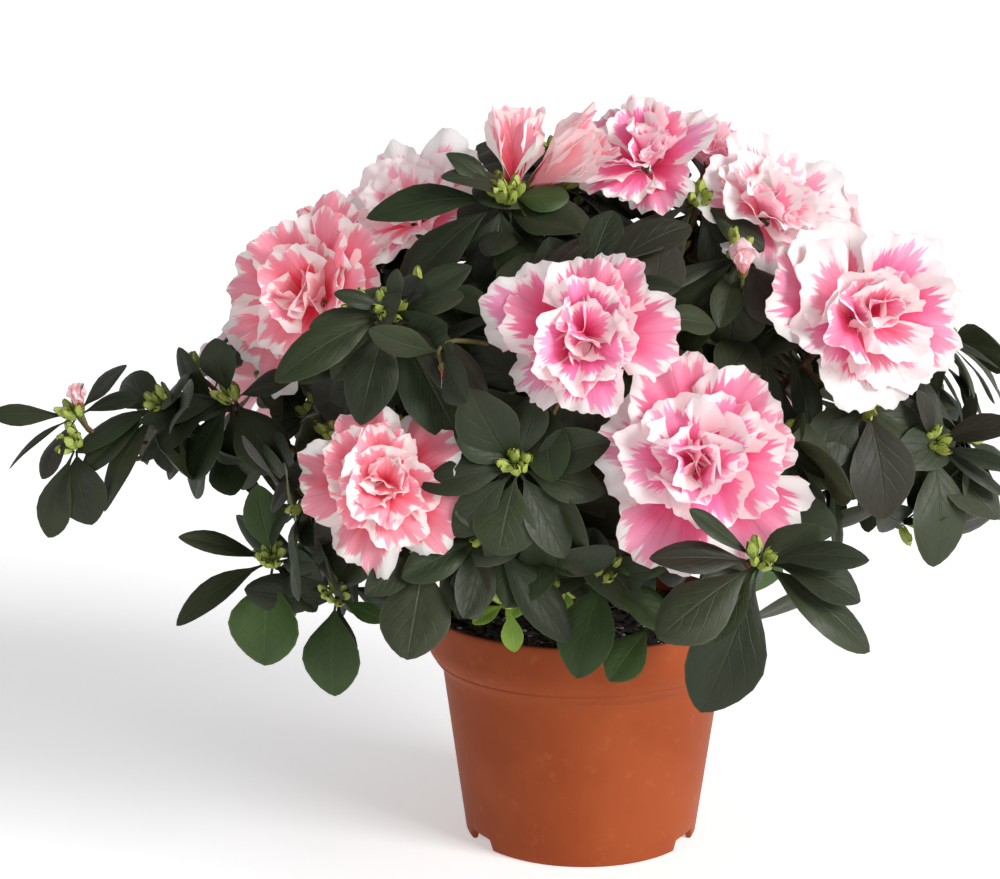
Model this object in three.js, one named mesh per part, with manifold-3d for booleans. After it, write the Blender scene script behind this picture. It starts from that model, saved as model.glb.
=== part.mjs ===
// Potted azalea: a low, many-limbed flowering shrub in a round plastic nursery pot.
// Millimetres, +Z up. The origin is the centre of the pot's flat underside; -Y is the front.

import * as THREE from 'three';
import { mergeVertices } from 'three/addons/utils/BufferGeometryUtils.js';
import Module from 'manifold-3d';

const wasm = await Module();
wasm.setup();

// ---------------------------------------------------------------- driving dimensions

const GAP = 0.3;

const POT = {
  height: 96,
  footRadius: 47.8,
  kneeRadius: 57.5,
  kneeHeight: 70.7,
  rimRadius: 65,
  shoulderHeight: 84,
  wall: 1.7,
  padRadius: 30,
  padThickness: 1.8,
  gutterHeight: 4.5,
  segments: 40,
};

const NOTCH = {
  count: 3,
  width: 16.5,
  height: 4.6,
  corner: 3,
  reach: 14,
};

const DRAIN_HOLES = {
  count: 6,
  radius: 3.2,
  circle: 38.6,
};

const SOIL = {
  level: 88,
  roughness: 1.4,
  rings: 5,
};

const STEM = {
  foot: [-6, 3],
  top: [-3, -1, 116],
  footRadius: 7,
  topRadius: 4.6,
  flare: 2.6,
  flareHeight: 7,
  sides: 10,
  steps: 6,
};

const BOUGH = {
  baseRadius: 3.2,
  tipRadius: 1.6,
  sides: 7,
  steps: 7,
  lowestFork: 99,
  forkPitch: 2.1,
  bow: 9,
};

// Each mass of foliage: where its middle lies and half its size along X, Y and Z.
const FOLIAGE = {
  front_centre: { at: [-2, -86, 222], half: [50, 46, 44] },
  front_left: { at: [-70, -64, 228], half: [50, 46, 42] },
  front_low_left: { at: [-72, -80, 168], half: [48, 44, 42] },
  front_low_middle: { at: [-16, -84, 144], half: [42, 42, 42] },
  front_low_right: { at: [42, -88, 178], half: [52, 46, 42] },
  front_right_skirt: { at: [54, -94, 130], half: [54, 40, 36] },
  top_front: { at: [-32, -26, 264], half: [48, 42, 36] },
  top_right: { at: [44, -20, 266], half: [50, 44, 36] },
  top_back: { at: [-2, 38, 262], half: [56, 46, 34] },
  left_high: { at: [-110, -16, 228], half: [42, 48, 46] },
  right_high: { at: [102, -34, 226], half: [54, 50, 44] },
  right_low: { at: [128, -24, 164], half: [46, 50, 42] },
  left_low: { at: [-114, -44, 132], half: [60, 46, 32] },
  left_middle: { at: [-144, -18, 184], half: [42, 42, 28] },
  far_left: { at: [-199, -26, 174], half: [38, 38, 34] },
  left_back: { at: [-122, 44, 180], half: [48, 48, 38] },
  right_back: { at: [126, 48, 178], half: [48, 48, 38] },
  back_left: { at: [-74, 52, 230], half: [54, 50, 44] },
  back_right: { at: [76, 50, 230], half: [54, 50, 44] },
  back_centre: { at: [0, 94, 208], half: [52, 44, 44] },
  back_low_left: { at: [-70, 96, 160], half: [54, 44, 36] },
  back_low_right: { at: [64, 98, 158], half: [54, 44, 36] },
};

const LUMPS = {
  perMass: 8,
  tallest: 0.26,
  sharpness: 9,
  jitter: 0.16,
  detail: 2,
};

// Which mass each main bough runs to, lowest fork first.
const BOUGHS = [
  'front_low_left',
  'back_low_right',
  'left_middle',
  'right_low',
  'front_low_right',
  'back_low_left',
  'left_high',
  'right_high',
  'front_centre',
  'back_centre',
  'top_back',
];

// ---------------------------------------------------------------- helpers

const Z_AXIS = new THREE.Vector3(0, 0, 1);

// A repeatable stream of numbers from 0 to 1.
function seededRandom(seed) {
  let state = seed;
  return () => {
    state = (state * 1664525 + 1013904223) % 4294967296;
    return state / 4294967296;
  };
}

// A closed three.js geometry as a solid; faces with two equal corners are left out.
function solid(geometry) {
  const bare = geometry.clone();
  bare.deleteAttribute('normal');
  bare.deleteAttribute('uv');
  const merged = mergeVertices(bare, 1e-4);
  const index = merged.index.array;
  const triangles = [];
  for (let i = 0; i < index.length; i += 3) {
    const [a, b, c] = [index[i], index[i + 1], index[i + 2]];
    if (a !== b && b !== c && c !== a) triangles.push(a, b, c);
  }
  return new wasm.Manifold(new wasm.Mesh({
    numProp: 3,
    vertProperties: new Float32Array(merged.attributes.position.array),
    triVerts: new Uint32Array(triangles),
  }));
}

function geometryOf(shape) {
  const mesh = shape.getMesh();
  const geometry = new THREE.BufferGeometry();
  geometry.setAttribute('position', new THREE.BufferAttribute(mesh.vertProperties, 3));
  geometry.setIndex(new THREE.BufferAttribute(mesh.triVerts, 1));
  geometry.computeVertexNormals();
  return geometry;
}

// A profile of [radius, height] corners turned about the Z axis.
function turned(profile, segments) {
  const points = profile.map(([radius, height]) => new THREE.Vector2(radius, height));
  return new THREE.LatheGeometry(points, segments).rotateX(Math.PI / 2);
}

// A round limb along a curve: a cylinder whose rings are moved onto the curve.
// radiusAt gives the limb's radius from 0 at its foot to 1 at its tip.
function limb(curve, radiusAt, sides, steps) {
  const geometry = new THREE.CylinderGeometry(1, 1, 1, sides, steps);
  geometry.rotateX(Math.PI / 2);
  const frames = curve.computeFrenetFrames(steps);
  const position = geometry.attributes.position;
  const point = new THREE.Vector3();
  for (let i = 0; i < position.count; i += 1) {
    point.fromBufferAttribute(position, i);
    const along = Math.min(1, Math.max(0, point.z + 0.5));
    const ring = Math.round(along * steps);
    const radius = radiusAt(along);
    const place = curve.getPointAt(along)
      .addScaledVector(frames.normals[ring], point.x * radius)
      .addScaledVector(frames.binormals[ring], point.y * radius);
    position.setXYZ(i, place.x, place.y, place.z);
  }
  return outwardFacing(geometry);
}

// The frames along a curve may be left-handed, which turns every face inwards.
function outwardFacing(geometry) {
  const index = geometry.index.array;
  const position = geometry.attributes.position;
  const [a, b, c] = [0, 1, 2].map(() => new THREE.Vector3());
  let volume = 0;
  for (let i = 0; i < index.length; i += 3) {
    a.fromBufferAttribute(position, index[i]);
    b.fromBufferAttribute(position, index[i + 1]);
    c.fromBufferAttribute(position, index[i + 2]);
    volume += a.dot(b.cross(c)) / 6;
  }
  if (volume < 0) {
    for (let i = 0; i < index.length; i += 3) {
      [index[i + 1], index[i + 2]] = [index[i + 2], index[i + 1]];
    }
  }
  return geometry;
}

// Everything on the far side of a plane, as one large block.
function blockBeyond(point, normal) {
  const side = 600;
  const block = new THREE.BoxGeometry(side, side, side);
  block.translate(0, 0, side / 2);
  block.applyQuaternion(new THREE.Quaternion().setFromUnitVectors(Z_AXIS, normal));
  block.translate(point.x, point.y, point.z);
  return solid(block);
}

// ---------------------------------------------------------------- pot

const WALL_SLOPE = (POT.kneeRadius - POT.footRadius) / POT.kneeHeight;

// The wall's outer line from the foot up, with the rounded band of the rim above the knee.
const POT_OUTSIDE = [
  [POT.footRadius - 0.5, 0],
  [POT.footRadius + 0.2, 1],
  [POT.kneeRadius, POT.kneeHeight],
  [POT.rimRadius - 4.0, POT.kneeHeight + 4.6],
  [POT.rimRadius - 1.7, POT.shoulderHeight - 4.4],
  [POT.rimRadius - 0.6, POT.shoulderHeight],
  [POT.rimRadius, POT.height - 5],
  [POT.rimRadius, POT.height - 1],
  [POT.rimRadius - 0.7, POT.height],
];

// The inner line from the lip down to the step between the floor's pad and its gutter.
const POT_INSIDE = [
  [POT.rimRadius - POT.wall - 0.4, POT.height],
  [POT.rimRadius - POT.wall - 0.8, POT.height - 1],
  [POT.rimRadius - POT.wall - 0.9, POT.shoulderHeight + 1],
  [POT.rimRadius - POT.wall - 4.2, POT.kneeHeight + 6],
  [POT.kneeRadius - POT.wall, POT.kneeHeight],
  [POT.footRadius - POT.wall + WALL_SLOPE * (POT.gutterHeight + 2), POT.gutterHeight + 2.4],
  [POT.footRadius - POT.wall - 0.4, POT.gutterHeight + POT.padThickness],
  [POT.padRadius + 2.2, POT.gutterHeight + POT.padThickness],
  [POT.padRadius + 0.7, POT.padThickness],
];

const POT_UNDERSIDE = [
  [0, 0],
  [POT.padRadius, 0],
  [POT.padRadius + 1.6, POT.gutterHeight],
  [POT.footRadius - POT.wall - 0.7, POT.gutterHeight],
  [POT.footRadius - POT.wall - 0.4, 0],
];

// A drain notch: a low arch with round upper corners, run out through the foot of the wall.
function notchCutter(azimuth) {
  const half = NOTCH.width / 2;
  const outline = new THREE.Shape();
  outline.moveTo(-half, -2);
  outline.lineTo(half, -2);
  outline.lineTo(half, NOTCH.height - NOTCH.corner);
  outline.absarc(half - NOTCH.corner, NOTCH.height - NOTCH.corner, NOTCH.corner, 0, Math.PI / 2);
  outline.absarc(NOTCH.corner - half, NOTCH.height - NOTCH.corner, NOTCH.corner, Math.PI / 2, Math.PI);
  outline.closePath();
  const arch = new THREE.ExtrudeGeometry(outline, {
    depth: NOTCH.reach,
    bevelEnabled: false,
    curveSegments: 4,
  });
  arch.rotateX(Math.PI / 2);
  arch.translate(0, POT.footRadius + NOTCH.reach / 2, 0);
  arch.rotateZ(azimuth);
  return solid(arch);
}

function drainHoleCutter(azimuth) {
  const hole = new THREE.CylinderGeometry(DRAIN_HOLES.radius, DRAIN_HOLES.radius, 12, 8);
  hole.rotateX(Math.PI / 2);
  hole.translate(DRAIN_HOLES.circle, 0, POT.gutterHeight);
  hole.rotateZ(azimuth);
  return solid(hole);
}

function pot() {
  const profile = [...POT_UNDERSIDE, ...POT_OUTSIDE, ...POT_INSIDE, [0, POT.padThickness]];
  let shape = solid(turned(profile, POT.segments));
  for (let i = 0; i < NOTCH.count; i += 1) {
    shape = shape.subtract(notchCutter((i * 2 * Math.PI) / NOTCH.count));
  }
  for (let i = 0; i < DRAIN_HOLES.count; i += 1) {
    shape = shape.subtract(drainHoleCutter(((i + 0.5) * 2 * Math.PI) / DRAIN_HOLES.count));
  }
  return shape;
}

// ---------------------------------------------------------------- soil

// The soil fills the pot to its level; its top dips a little here and there, never above it.
function soil() {
  const walls = POT_INSIDE
    .filter(([, height]) => height < SOIL.level)
    .map(([radius, height]) => [radius - GAP, height + GAP])
    .reverse();
  const edge = walls[walls.length - 1][0];
  const top = [];
  for (let i = 0; i < SOIL.rings; i += 1) {
    top.push([edge * (1 - i / SOIL.rings), SOIL.level]);
  }
  const profile = [[0, POT.padThickness + GAP], ...walls, ...top, [0, SOIL.level]];
  const geometry = turned(profile, POT.segments / 2);
  const position = geometry.attributes.position;
  for (let i = 0; i < position.count; i += 1) {
    const [x, y, z] = [position.getX(i), position.getY(i), position.getZ(i)];
    const out = Math.hypot(x, y);
    if (z > SOIL.level - 1e-3 && out > STEM.footRadius + STEM.flare) {
      const dip = 0.5 + 0.3 * Math.sin(x * 0.16 + 1) + 0.2 * Math.cos(y * 0.21 + x * 0.1);
      position.setZ(i, SOIL.level - SOIL.roughness * dip);
    }
  }
  return solid(geometry);
}

// ---------------------------------------------------------------- stem

const STEM_CURVE = new THREE.CubicBezierCurve3(
  new THREE.Vector3(...STEM.foot, SOIL.level + GAP),
  new THREE.Vector3(...STEM.foot, SOIL.level + GAP + 8),
  new THREE.Vector3(STEM.top[0], STEM.top[1], STEM.top[2] - 8),
  new THREE.Vector3(...STEM.top),
);

function stem(grow = 0) {
  const length = STEM_CURVE.getLength();
  const radiusAt = (along) => {
    const flare = STEM.flare * Math.exp((-along * length) / STEM.flareHeight);
    return STEM.footRadius + (STEM.topRadius - STEM.footRadius) * along + flare + grow;
  };
  return solid(limb(STEM_CURVE, radiusAt, STEM.sides, STEM.steps));
}

// ---------------------------------------------------------------- foliage

const MASS_NAMES = Object.keys(FOLIAGE);
const CROWN_HEART = new THREE.Vector3(0, 0, 160);

// Lumps swell a mass mostly on the side that faces out of the crown.
function lumpsOf(name) {
  const random = seededRandom(97 + 31 * MASS_NAMES.indexOf(name));
  const outward = new THREE.Vector3(...FOLIAGE[name].at).sub(CROWN_HEART).normalize();
  const lumps = [];
  for (let i = 0; i < LUMPS.perMass; i += 1) {
    const toward = new THREE.Vector3(random() - 0.5, random() - 0.5, random() - 0.5);
    toward.normalize().addScaledVector(outward, 0.45).normalize();
    lumps.push({ toward, height: LUMPS.tallest * (0.35 + 0.65 * random()) });
  }
  return { lumps, random };
}

// An uneven closed blob, before it is cut from its neighbours.
function blob(name, grow = 0) {
  const { at, half } = FOLIAGE[name];
  const { lumps, random } = lumpsOf(name);
  const ball = new THREE.IcosahedronGeometry(1, LUMPS.detail);
  ball.deleteAttribute('normal');
  ball.deleteAttribute('uv');
  const geometry = mergeVertices(ball, 1e-4);
  const position = geometry.attributes.position;
  const point = new THREE.Vector3();
  for (let i = 0; i < position.count; i += 1) {
    point.fromBufferAttribute(position, i).normalize();
    let size = 0.82 + LUMPS.jitter * (random() - 0.5);
    for (const { toward, height } of lumps) {
      size += height * Math.exp(-LUMPS.sharpness * (1 - point.dot(toward)));
    }
    const [x, y, z] = [point.x, point.y, point.z].map((part, k) => at[k] + part * (half[k] * size + grow));
    position.setXYZ(i, x, y, z);
  }
  return solid(geometry);
}

// Where two blobs run into each other, both end at one plane between their middles.
function dividingPlanes() {
  const blobs = MASS_NAMES.map((name) => blob(name));
  const planes = Object.fromEntries(MASS_NAMES.map((name) => [name, []]));
  MASS_NAMES.forEach((first, i) => {
    MASS_NAMES.slice(i + 1).forEach((second, k) => {
      if (blobs[i].intersect(blobs[i + 1 + k]).volume() > 0) {
        const from = new THREE.Vector3(...FOLIAGE[first].at);
        const across = new THREE.Vector3(...FOLIAGE[second].at).sub(from);
        const distance = across.length();
        const normal = across.normalize();
        const reach = [first, second].map((name) => {
          const [a, b, c] = FOLIAGE[name].half;
          return 1 / Math.hypot(normal.x / a, normal.y / b, normal.z / c);
        });
        const point = from.addScaledVector(normal, (distance * reach[0]) / (reach[0] + reach[1]));
        planes[first].push({ point, normal });
        planes[second].push({ point, normal: normal.clone().negate() });
      }
    });
  });
  return planes;
}

const PLANES = dividingPlanes();

// A mass of foliage; grow makes a copy that stands that much further out all round.
function foliage(name, grow = 0) {
  let shape = blob(name, grow);
  for (const { point, normal } of PLANES[name]) {
    const face = point.clone().addScaledVector(normal, grow - GAP / 2);
    shape = shape.subtract(blockBeyond(face, normal));
  }
  return shape;
}

// ---------------------------------------------------------------- boughs

// A bough leaves the stem sideways and turns up towards the middle of its mass.
function boughCurve(target, order) {
  const random = seededRandom(11 + 7 * order);
  const height = BOUGH.lowestFork + BOUGH.forkPitch * (order / 1.5);
  const along = (height - SOIL.level) / (STEM.top[2] - SOIL.level);
  const start = STEM_CURVE.getPoint(Math.min(0.97, along));
  const end = new THREE.Vector3(...FOLIAGE[target].at);
  const run = end.clone().sub(start);
  const sideways = new THREE.Vector3(-run.y, run.x, 0).normalize();
  const bend = start.clone().addScaledVector(run, 0.5);
  bend.z -= 0.14 * run.z;
  bend.addScaledVector(sideways, BOUGH.bow * (random() - 0.5) * 2);
  return new THREE.QuadraticBezierCurve3(start, bend, end);
}

function boughSolid(curve, grow = 0) {
  const radiusAt = (along) => BOUGH.baseRadius + (BOUGH.tipRadius - BOUGH.baseRadius) * along + grow;
  return solid(limb(curve, radiusAt, BOUGH.sides, BOUGH.steps));
}

// What is left next to the stem once a bough has been cut by everything it meets.
function pieceNearest(point, shape) {
  const distanceTo = (piece) => {
    const { vertProperties } = piece.getMesh();
    let nearest = Infinity;
    for (let i = 0; i < vertProperties.length; i += 3) {
      const corner = new THREE.Vector3().fromArray(vertProperties, i);
      nearest = Math.min(nearest, corner.distanceTo(point));
    }
    return nearest;
  };
  return shape.decompose().sort((a, b) => distanceTo(a) - distanceTo(b))[0];
}

function boughs() {
  const obstacles = [stem(GAP), ...MASS_NAMES.map((name) => foliage(name, GAP))];
  return BOUGHS.map((target, order) => {
    const curve = boughCurve(target, order);
    let shape = boughSolid(curve);
    for (const obstacle of obstacles) shape = shape.subtract(obstacle);
    obstacles.push(boughSolid(curve, GAP));
    return { name: `bough_to_${target}`, shape: pieceNearest(curve.getPoint(0), shape) };
  });
}

// ---------------------------------------------------------------- assembly

const MATERIALS = {
  pot: new THREE.MeshStandardMaterial({ color: 0xb5623a, roughness: 0.6, metalness: 0 }),
  soil: new THREE.MeshStandardMaterial({ color: 0x1c1410, roughness: 0.95, metalness: 0 }),
  bark: new THREE.MeshStandardMaterial({ color: 0x6b3f2a, roughness: 0.85, metalness: 0 }),
  foliage: new THREE.MeshStandardMaterial({ color: 0x2f4526, roughness: 0.6, metalness: 0 }),
};

const azalea = new THREE.Group();

function addNode(name, shape, material) {
  const mesh = new THREE.Mesh(geometryOf(shape), material);
  mesh.name = name;
  azalea.add(mesh);
}

addNode('pot', pot(), MATERIALS.pot);
addNode('soil', soil(), MATERIALS.soil);
addNode('stem', stem(), MATERIALS.bark);
for (const { name, shape } of boughs()) addNode(name, shape, MATERIALS.bark);
for (const name of MASS_NAMES) addNode(`foliage_${name}`, foliage(name), MATERIALS.foliage);

export default azalea;
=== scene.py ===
"""A potted azalea in bloom: the finished surfaces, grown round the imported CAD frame.

Shapes are worked out in millimetres in the frame's own axes (+Z up, -Y the front) and become
metres when a mesh is made. Every random draw comes from a seeded stream.
"""

import math

import bpy
import mathutils
import numpy as np
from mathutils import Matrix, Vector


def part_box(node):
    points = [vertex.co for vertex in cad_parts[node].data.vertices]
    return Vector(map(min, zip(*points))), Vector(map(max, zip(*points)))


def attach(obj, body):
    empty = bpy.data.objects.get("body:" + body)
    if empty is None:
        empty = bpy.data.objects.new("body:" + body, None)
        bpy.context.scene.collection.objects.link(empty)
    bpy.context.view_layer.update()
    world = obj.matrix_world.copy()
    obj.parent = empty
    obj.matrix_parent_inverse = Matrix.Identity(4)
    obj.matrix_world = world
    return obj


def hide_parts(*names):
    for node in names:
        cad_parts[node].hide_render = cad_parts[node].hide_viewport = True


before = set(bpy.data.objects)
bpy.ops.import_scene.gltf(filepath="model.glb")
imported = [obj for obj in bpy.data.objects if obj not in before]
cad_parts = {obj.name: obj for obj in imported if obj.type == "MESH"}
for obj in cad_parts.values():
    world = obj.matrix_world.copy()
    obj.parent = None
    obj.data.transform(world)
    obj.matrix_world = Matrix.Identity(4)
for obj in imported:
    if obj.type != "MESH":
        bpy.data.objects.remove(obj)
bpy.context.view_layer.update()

MM = 0.001
TAU = 2 * math.pi
UP = np.array([0.0, 0.0, 1.0])
FRONT = np.array([0.0, -1.0, 0.0])


# ------------------------------------------------------------------ places taken from the frame


def box_of(node):
    """Middle and half-size of a CAD node, in millimetres."""
    low, high = (np.array(corner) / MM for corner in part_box(node))
    return (low + high) / 2, (high - low) / 2


MASSES = {
    name.removeprefix("foliage_"): box_of(name)
    for name in sorted(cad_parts)
    if name.startswith("foliage_")
}
_, POT_HALF = box_of("pot")
SOIL_MIDDLE, SOIL_HALF = box_of("soil")
STEM_MIDDLE, STEM_HALF = box_of("stem")
POT_HEIGHT = 2 * POT_HALF[2]
SOIL_TOP = SOIL_MIDDLE[2] + SOIL_HALF[2]
CROWN_HEART = np.array([0.0, 0.0, 1.66 * POT_HEIGHT])


def spot(mass, x, y, z):
    """A place in a mass of foliage: -1 to 1 across its box each way."""
    middle, half = MASSES[mass]
    return middle + half * np.array([x, y, z])


# ------------------------------------------------------------------ vectors


def unit(v):
    v = np.asarray(v, float)
    return v / np.linalg.norm(v)


def square_to(v, hint):
    """The part of hint at right angles to v, as a unit vector."""
    side = hint - v * np.dot(v, hint)
    if np.linalg.norm(side) < 1e-3:
        side = np.cross(v, [0.31, 0.52, 0.79])
    return unit(side)


def basis(z_axis, x_hint):
    """Columns x, y, z of a right-handed frame whose z is given."""
    z = unit(z_axis)
    x = square_to(z, x_hint)
    return np.stack([x, np.cross(z, x), z], axis=1)


def spoke(axes, turn, rise=0.0):
    """A direction at that angle round the z of some axes, rising along it where rise is given."""
    return axes @ np.array([math.cos(turn), math.sin(turn), rise])


def bezier(points, count):
    """A quadratic or cubic Bezier curve as count + 1 points."""
    t = np.linspace(0, 1, count + 1)[:, None]
    if len(points) == 3:
        a, b, c = points
        return a * (1 - t) ** 2 + b * 2 * t * (1 - t) + c * t**2
    a, b, c, d = points
    return a * (1 - t) ** 3 + b * 3 * t * (1 - t) ** 2 + c * 3 * t**2 * (1 - t) + d * t**3


class Picker:
    """Draws from a stream of its own, always the same for one seed."""

    def __init__(self, seed):
        self.stream = np.random.RandomState(seed)

    def uniform(self, low, high):
        return low + (high - low) * self.stream.random_sample()

    def gauss(self):
        return self.stream.standard_normal()

    def whole(self, low, high):
        return int(self.stream.randint(low, high + 1))

    def choice(self, options):
        return options[self.stream.randint(len(options))]


# ------------------------------------------------------------------ meshes

# The chart is a square of 4 by 4 cells. A leaf or a petal fills one cell with each face, and the
# cell says which tones it has.
ATLAS = 4
CELL_MARGIN = 0.03
BARK_TILE = 60.0  # mm of a limb that one height of the chart covers


def in_cell(chart, cell):
    """Chart places from 0 to 1 moved into one cell of the 4 by 4 atlas."""
    corner = np.array([cell % ATLAS, cell // ATLAS])
    return (corner + CELL_MARGIN + (1 - 2 * CELL_MARGIN) * chart) / ATLAS


class Heap:
    """Sheets and tubes of one kind, gathered before they become one mesh."""

    def __init__(self):
        self.points = []
        self.quads = []
        self.places = []
        self.rims = []
        self.count = 0

    def add(self, points, quads, places, rim=None):
        """rim: which points lie on a sharp edge."""
        self.points.append(points)
        self.quads.append(quads + self.count)
        self.places.append(places)
        self.rims.append(np.zeros(len(points), bool) if rim is None else rim)
        self.count += len(points)

    def piece(self, name, paint, slot, replaced=()):
        """Puts the mesh in the scene, with its material, its body and the CAD nodes it stands for."""
        quads = np.concatenate(self.quads)
        places = np.concatenate(self.places)
        mesh = bpy.data.meshes.new(name)
        points = np.concatenate(self.points) * MM
        mesh.vertices.add(len(points))
        mesh.vertices.foreach_set("co", points.astype(np.float32).ravel())
        mesh.loops.add(quads.size)
        mesh.loops.foreach_set("vertex_index", quads.astype(np.int32).ravel())
        mesh.polygons.add(len(quads))
        mesh.polygons.foreach_set("loop_start", np.arange(0, quads.size, 4, dtype=np.int32))
        mesh.polygons.foreach_set("loop_total", np.full(len(quads), 4, np.int32))
        mesh.polygons.foreach_set("use_smooth", np.ones(len(quads), bool))
        chart = mesh.uv_layers.new(name="OFBake")
        chart.data.foreach_set("uv", places.astype(np.float32).ravel())
        mesh.update(calc_edges=True)
        ends = np.empty(2 * len(mesh.edges), np.int32)
        mesh.edges.foreach_get("vertices", ends)
        sharp = np.concatenate(self.rims)[ends].reshape(-1, 2).all(axis=1)
        mesh.attributes.new("sharp_edge", "BOOLEAN", "EDGE").data.foreach_set("value", sharp)
        mesh.materials.append(paint)
        piece = bpy.data.objects.new(name, mesh)
        bpy.context.scene.collection.objects.link(piece)
        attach(piece, "root")
        if replaced:
            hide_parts(*replaced)


def corners_of(grid):
    """The four corners of each quad between the rows and columns of a grid."""
    corners = [grid[:-1, :-1], grid[1:, :-1], grid[1:, 1:], grid[:-1, 1:]]
    return np.stack(corners, axis=2).reshape(-1, 4, *grid.shape[2:])


def ring_quads(rows, sides):
    """Quads between rings of points, closed round each ring."""
    grid = np.arange(rows * sides).reshape(rows, sides)
    return corners_of(np.concatenate([grid, grid[:, :1]], axis=1))


def ring_chart(heights, sides):
    """Chart corners for the quads between rings: once across the chart round each ring."""
    round_ring = np.linspace(0, 1, sides + 1)[None, :]
    return corners_of(np.stack(np.broadcast_arrays(round_ring, heights[:, None]), axis=-1))


class Sheet:
    """A thin closed sheet: two faces that share their rim. u runs across, v from foot to tip."""

    def __init__(self, across, along):
        shape = (across + 1, along + 1)
        top = np.arange(shape[0] * shape[1]).reshape(shape)
        under = top.copy()
        inner = under[1:-1, 1:-1]
        under[1:-1, 1:-1] = top.size + np.arange(inner.size).reshape(inner.shape)
        self.u, self.v = np.meshgrid(
            np.linspace(-1, 1, shape[0]), np.linspace(0, 1, shape[1]), indexing="ij"
        )
        places = np.stack([(self.u + 1) / 2, self.v], axis=-1).reshape(-1, 2)
        self.rim = np.ones(top.size + inner.size, bool)
        self.rim[inner.ravel()] = False
        self.rim[top[1:-1, 1:-1].ravel()] = False
        face = corners_of(top)
        turned = [0, 3, 2, 1]  # faces the other way and is split along the same diagonal
        self.quads = np.concatenate([face, corners_of(under)[:, turned]])
        self.chart_top = places[face]
        self.chart_under = places[face[:, turned]]

    def add(self, heap, points, cell_top, cell_under, thickness):
        """points: one for each u and v, on the upper face."""
        du = np.gradient(points, axis=0)
        dv = np.gradient(points, axis=1)
        normal = np.cross(du, dv)
        normal /= np.linalg.norm(normal, axis=-1, keepdims=True) + 1e-9
        under = (points - thickness * normal)[1:-1, 1:-1]
        heap.add(
            np.concatenate([points.reshape(-1, 3), under.reshape(-1, 3)]),
            self.quads,
            np.concatenate(
                [in_cell(self.chart_top, cell_top), in_cell(self.chart_under, cell_under)]
            ),
            self.rim,
        )


CLOSED_END = 0.02  # the ring that closes a limb, as a share of the last one


def tube(heap, path, radii, sides, relief=None):
    """A round limb along a path, closed by a small ring at each end. Its chart runs once round the
    limb and starts again after each length of BARK_TILE."""
    tangent = np.gradient(path, axis=0)
    tangent /= np.linalg.norm(tangent, axis=1, keepdims=True)
    across = square_to(tangent[0], np.array([0.3, 0.9, 0.2]))
    turn = np.linspace(0, TAU, sides, endpoint=False)
    rings, lengths, run = [], [0.0], 0.0
    for i, (point, forward) in enumerate(zip(path, tangent)):
        across = square_to(forward, across)
        other = np.cross(forward, across)
        radius = np.full(sides, radii[i])
        if i:
            run += np.linalg.norm(point - path[i - 1])
            lengths.append(run)
        if relief is not None:
            radius = radius * relief(turn, run)
        spokes = np.cos(turn)[:, None] * across + np.sin(turn)[:, None] * other
        rings.append(point + radius[:, None] * spokes)
    first, last = (
        end + CLOSED_END * (ring - end) for end, ring in ((path[0], rings[0]), (path[-1], rings[-1]))
    )
    rings = np.stack([first, *rings, last])
    lengths = np.array([0.0, *lengths, run])
    heap.add(
        rings.reshape(-1, 3),
        ring_quads(len(rings), sides)[:, ::-1],
        ring_chart(lengths / BARK_TILE % 1.0, sides)[:, ::-1],
    )


# ------------------------------------------------------------------ shader maths


class Amount:
    """A number or vector that varies over a surface. Arithmetic on it adds Math nodes."""

    def __init__(self, paint, socket):
        self.paint = paint
        self.socket = socket

    def maths(self, operation, *values):
        return self.paint.node("ShaderNodeMath", {"operation": operation}, *values)

    def __add__(self, other):
        return self.maths("ADD", self, other)

    def __sub__(self, other):
        return self.maths("SUBTRACT", self, other)

    def __rsub__(self, other):
        return self.maths("SUBTRACT", other, self)

    def __mul__(self, other):
        return self.maths("MULTIPLY", self, other)

    def __truediv__(self, other):
        return self.maths("DIVIDE", self, other)

    def __pow__(self, other):
        return self.maths("POWER", self, other)

    __radd__ = __add__
    __rmul__ = __mul__

    def size(self):
        return self.maths("ABSOLUTE", self)

    def part(self):
        return self.maths("FRACT", self)

    def whole(self):
        return self.maths("FLOOR", self)

    def wave(self):
        return self.maths("SINE", self)

    def between(self, low, high):
        """0 below low, 1 above high and a smooth rise between them."""
        settings = {"interpolation_type": "SMOOTHSTEP"}
        return self.paint.node("ShaderNodeMapRange", settings, self, low, high, 0.0, 1.0)


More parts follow.
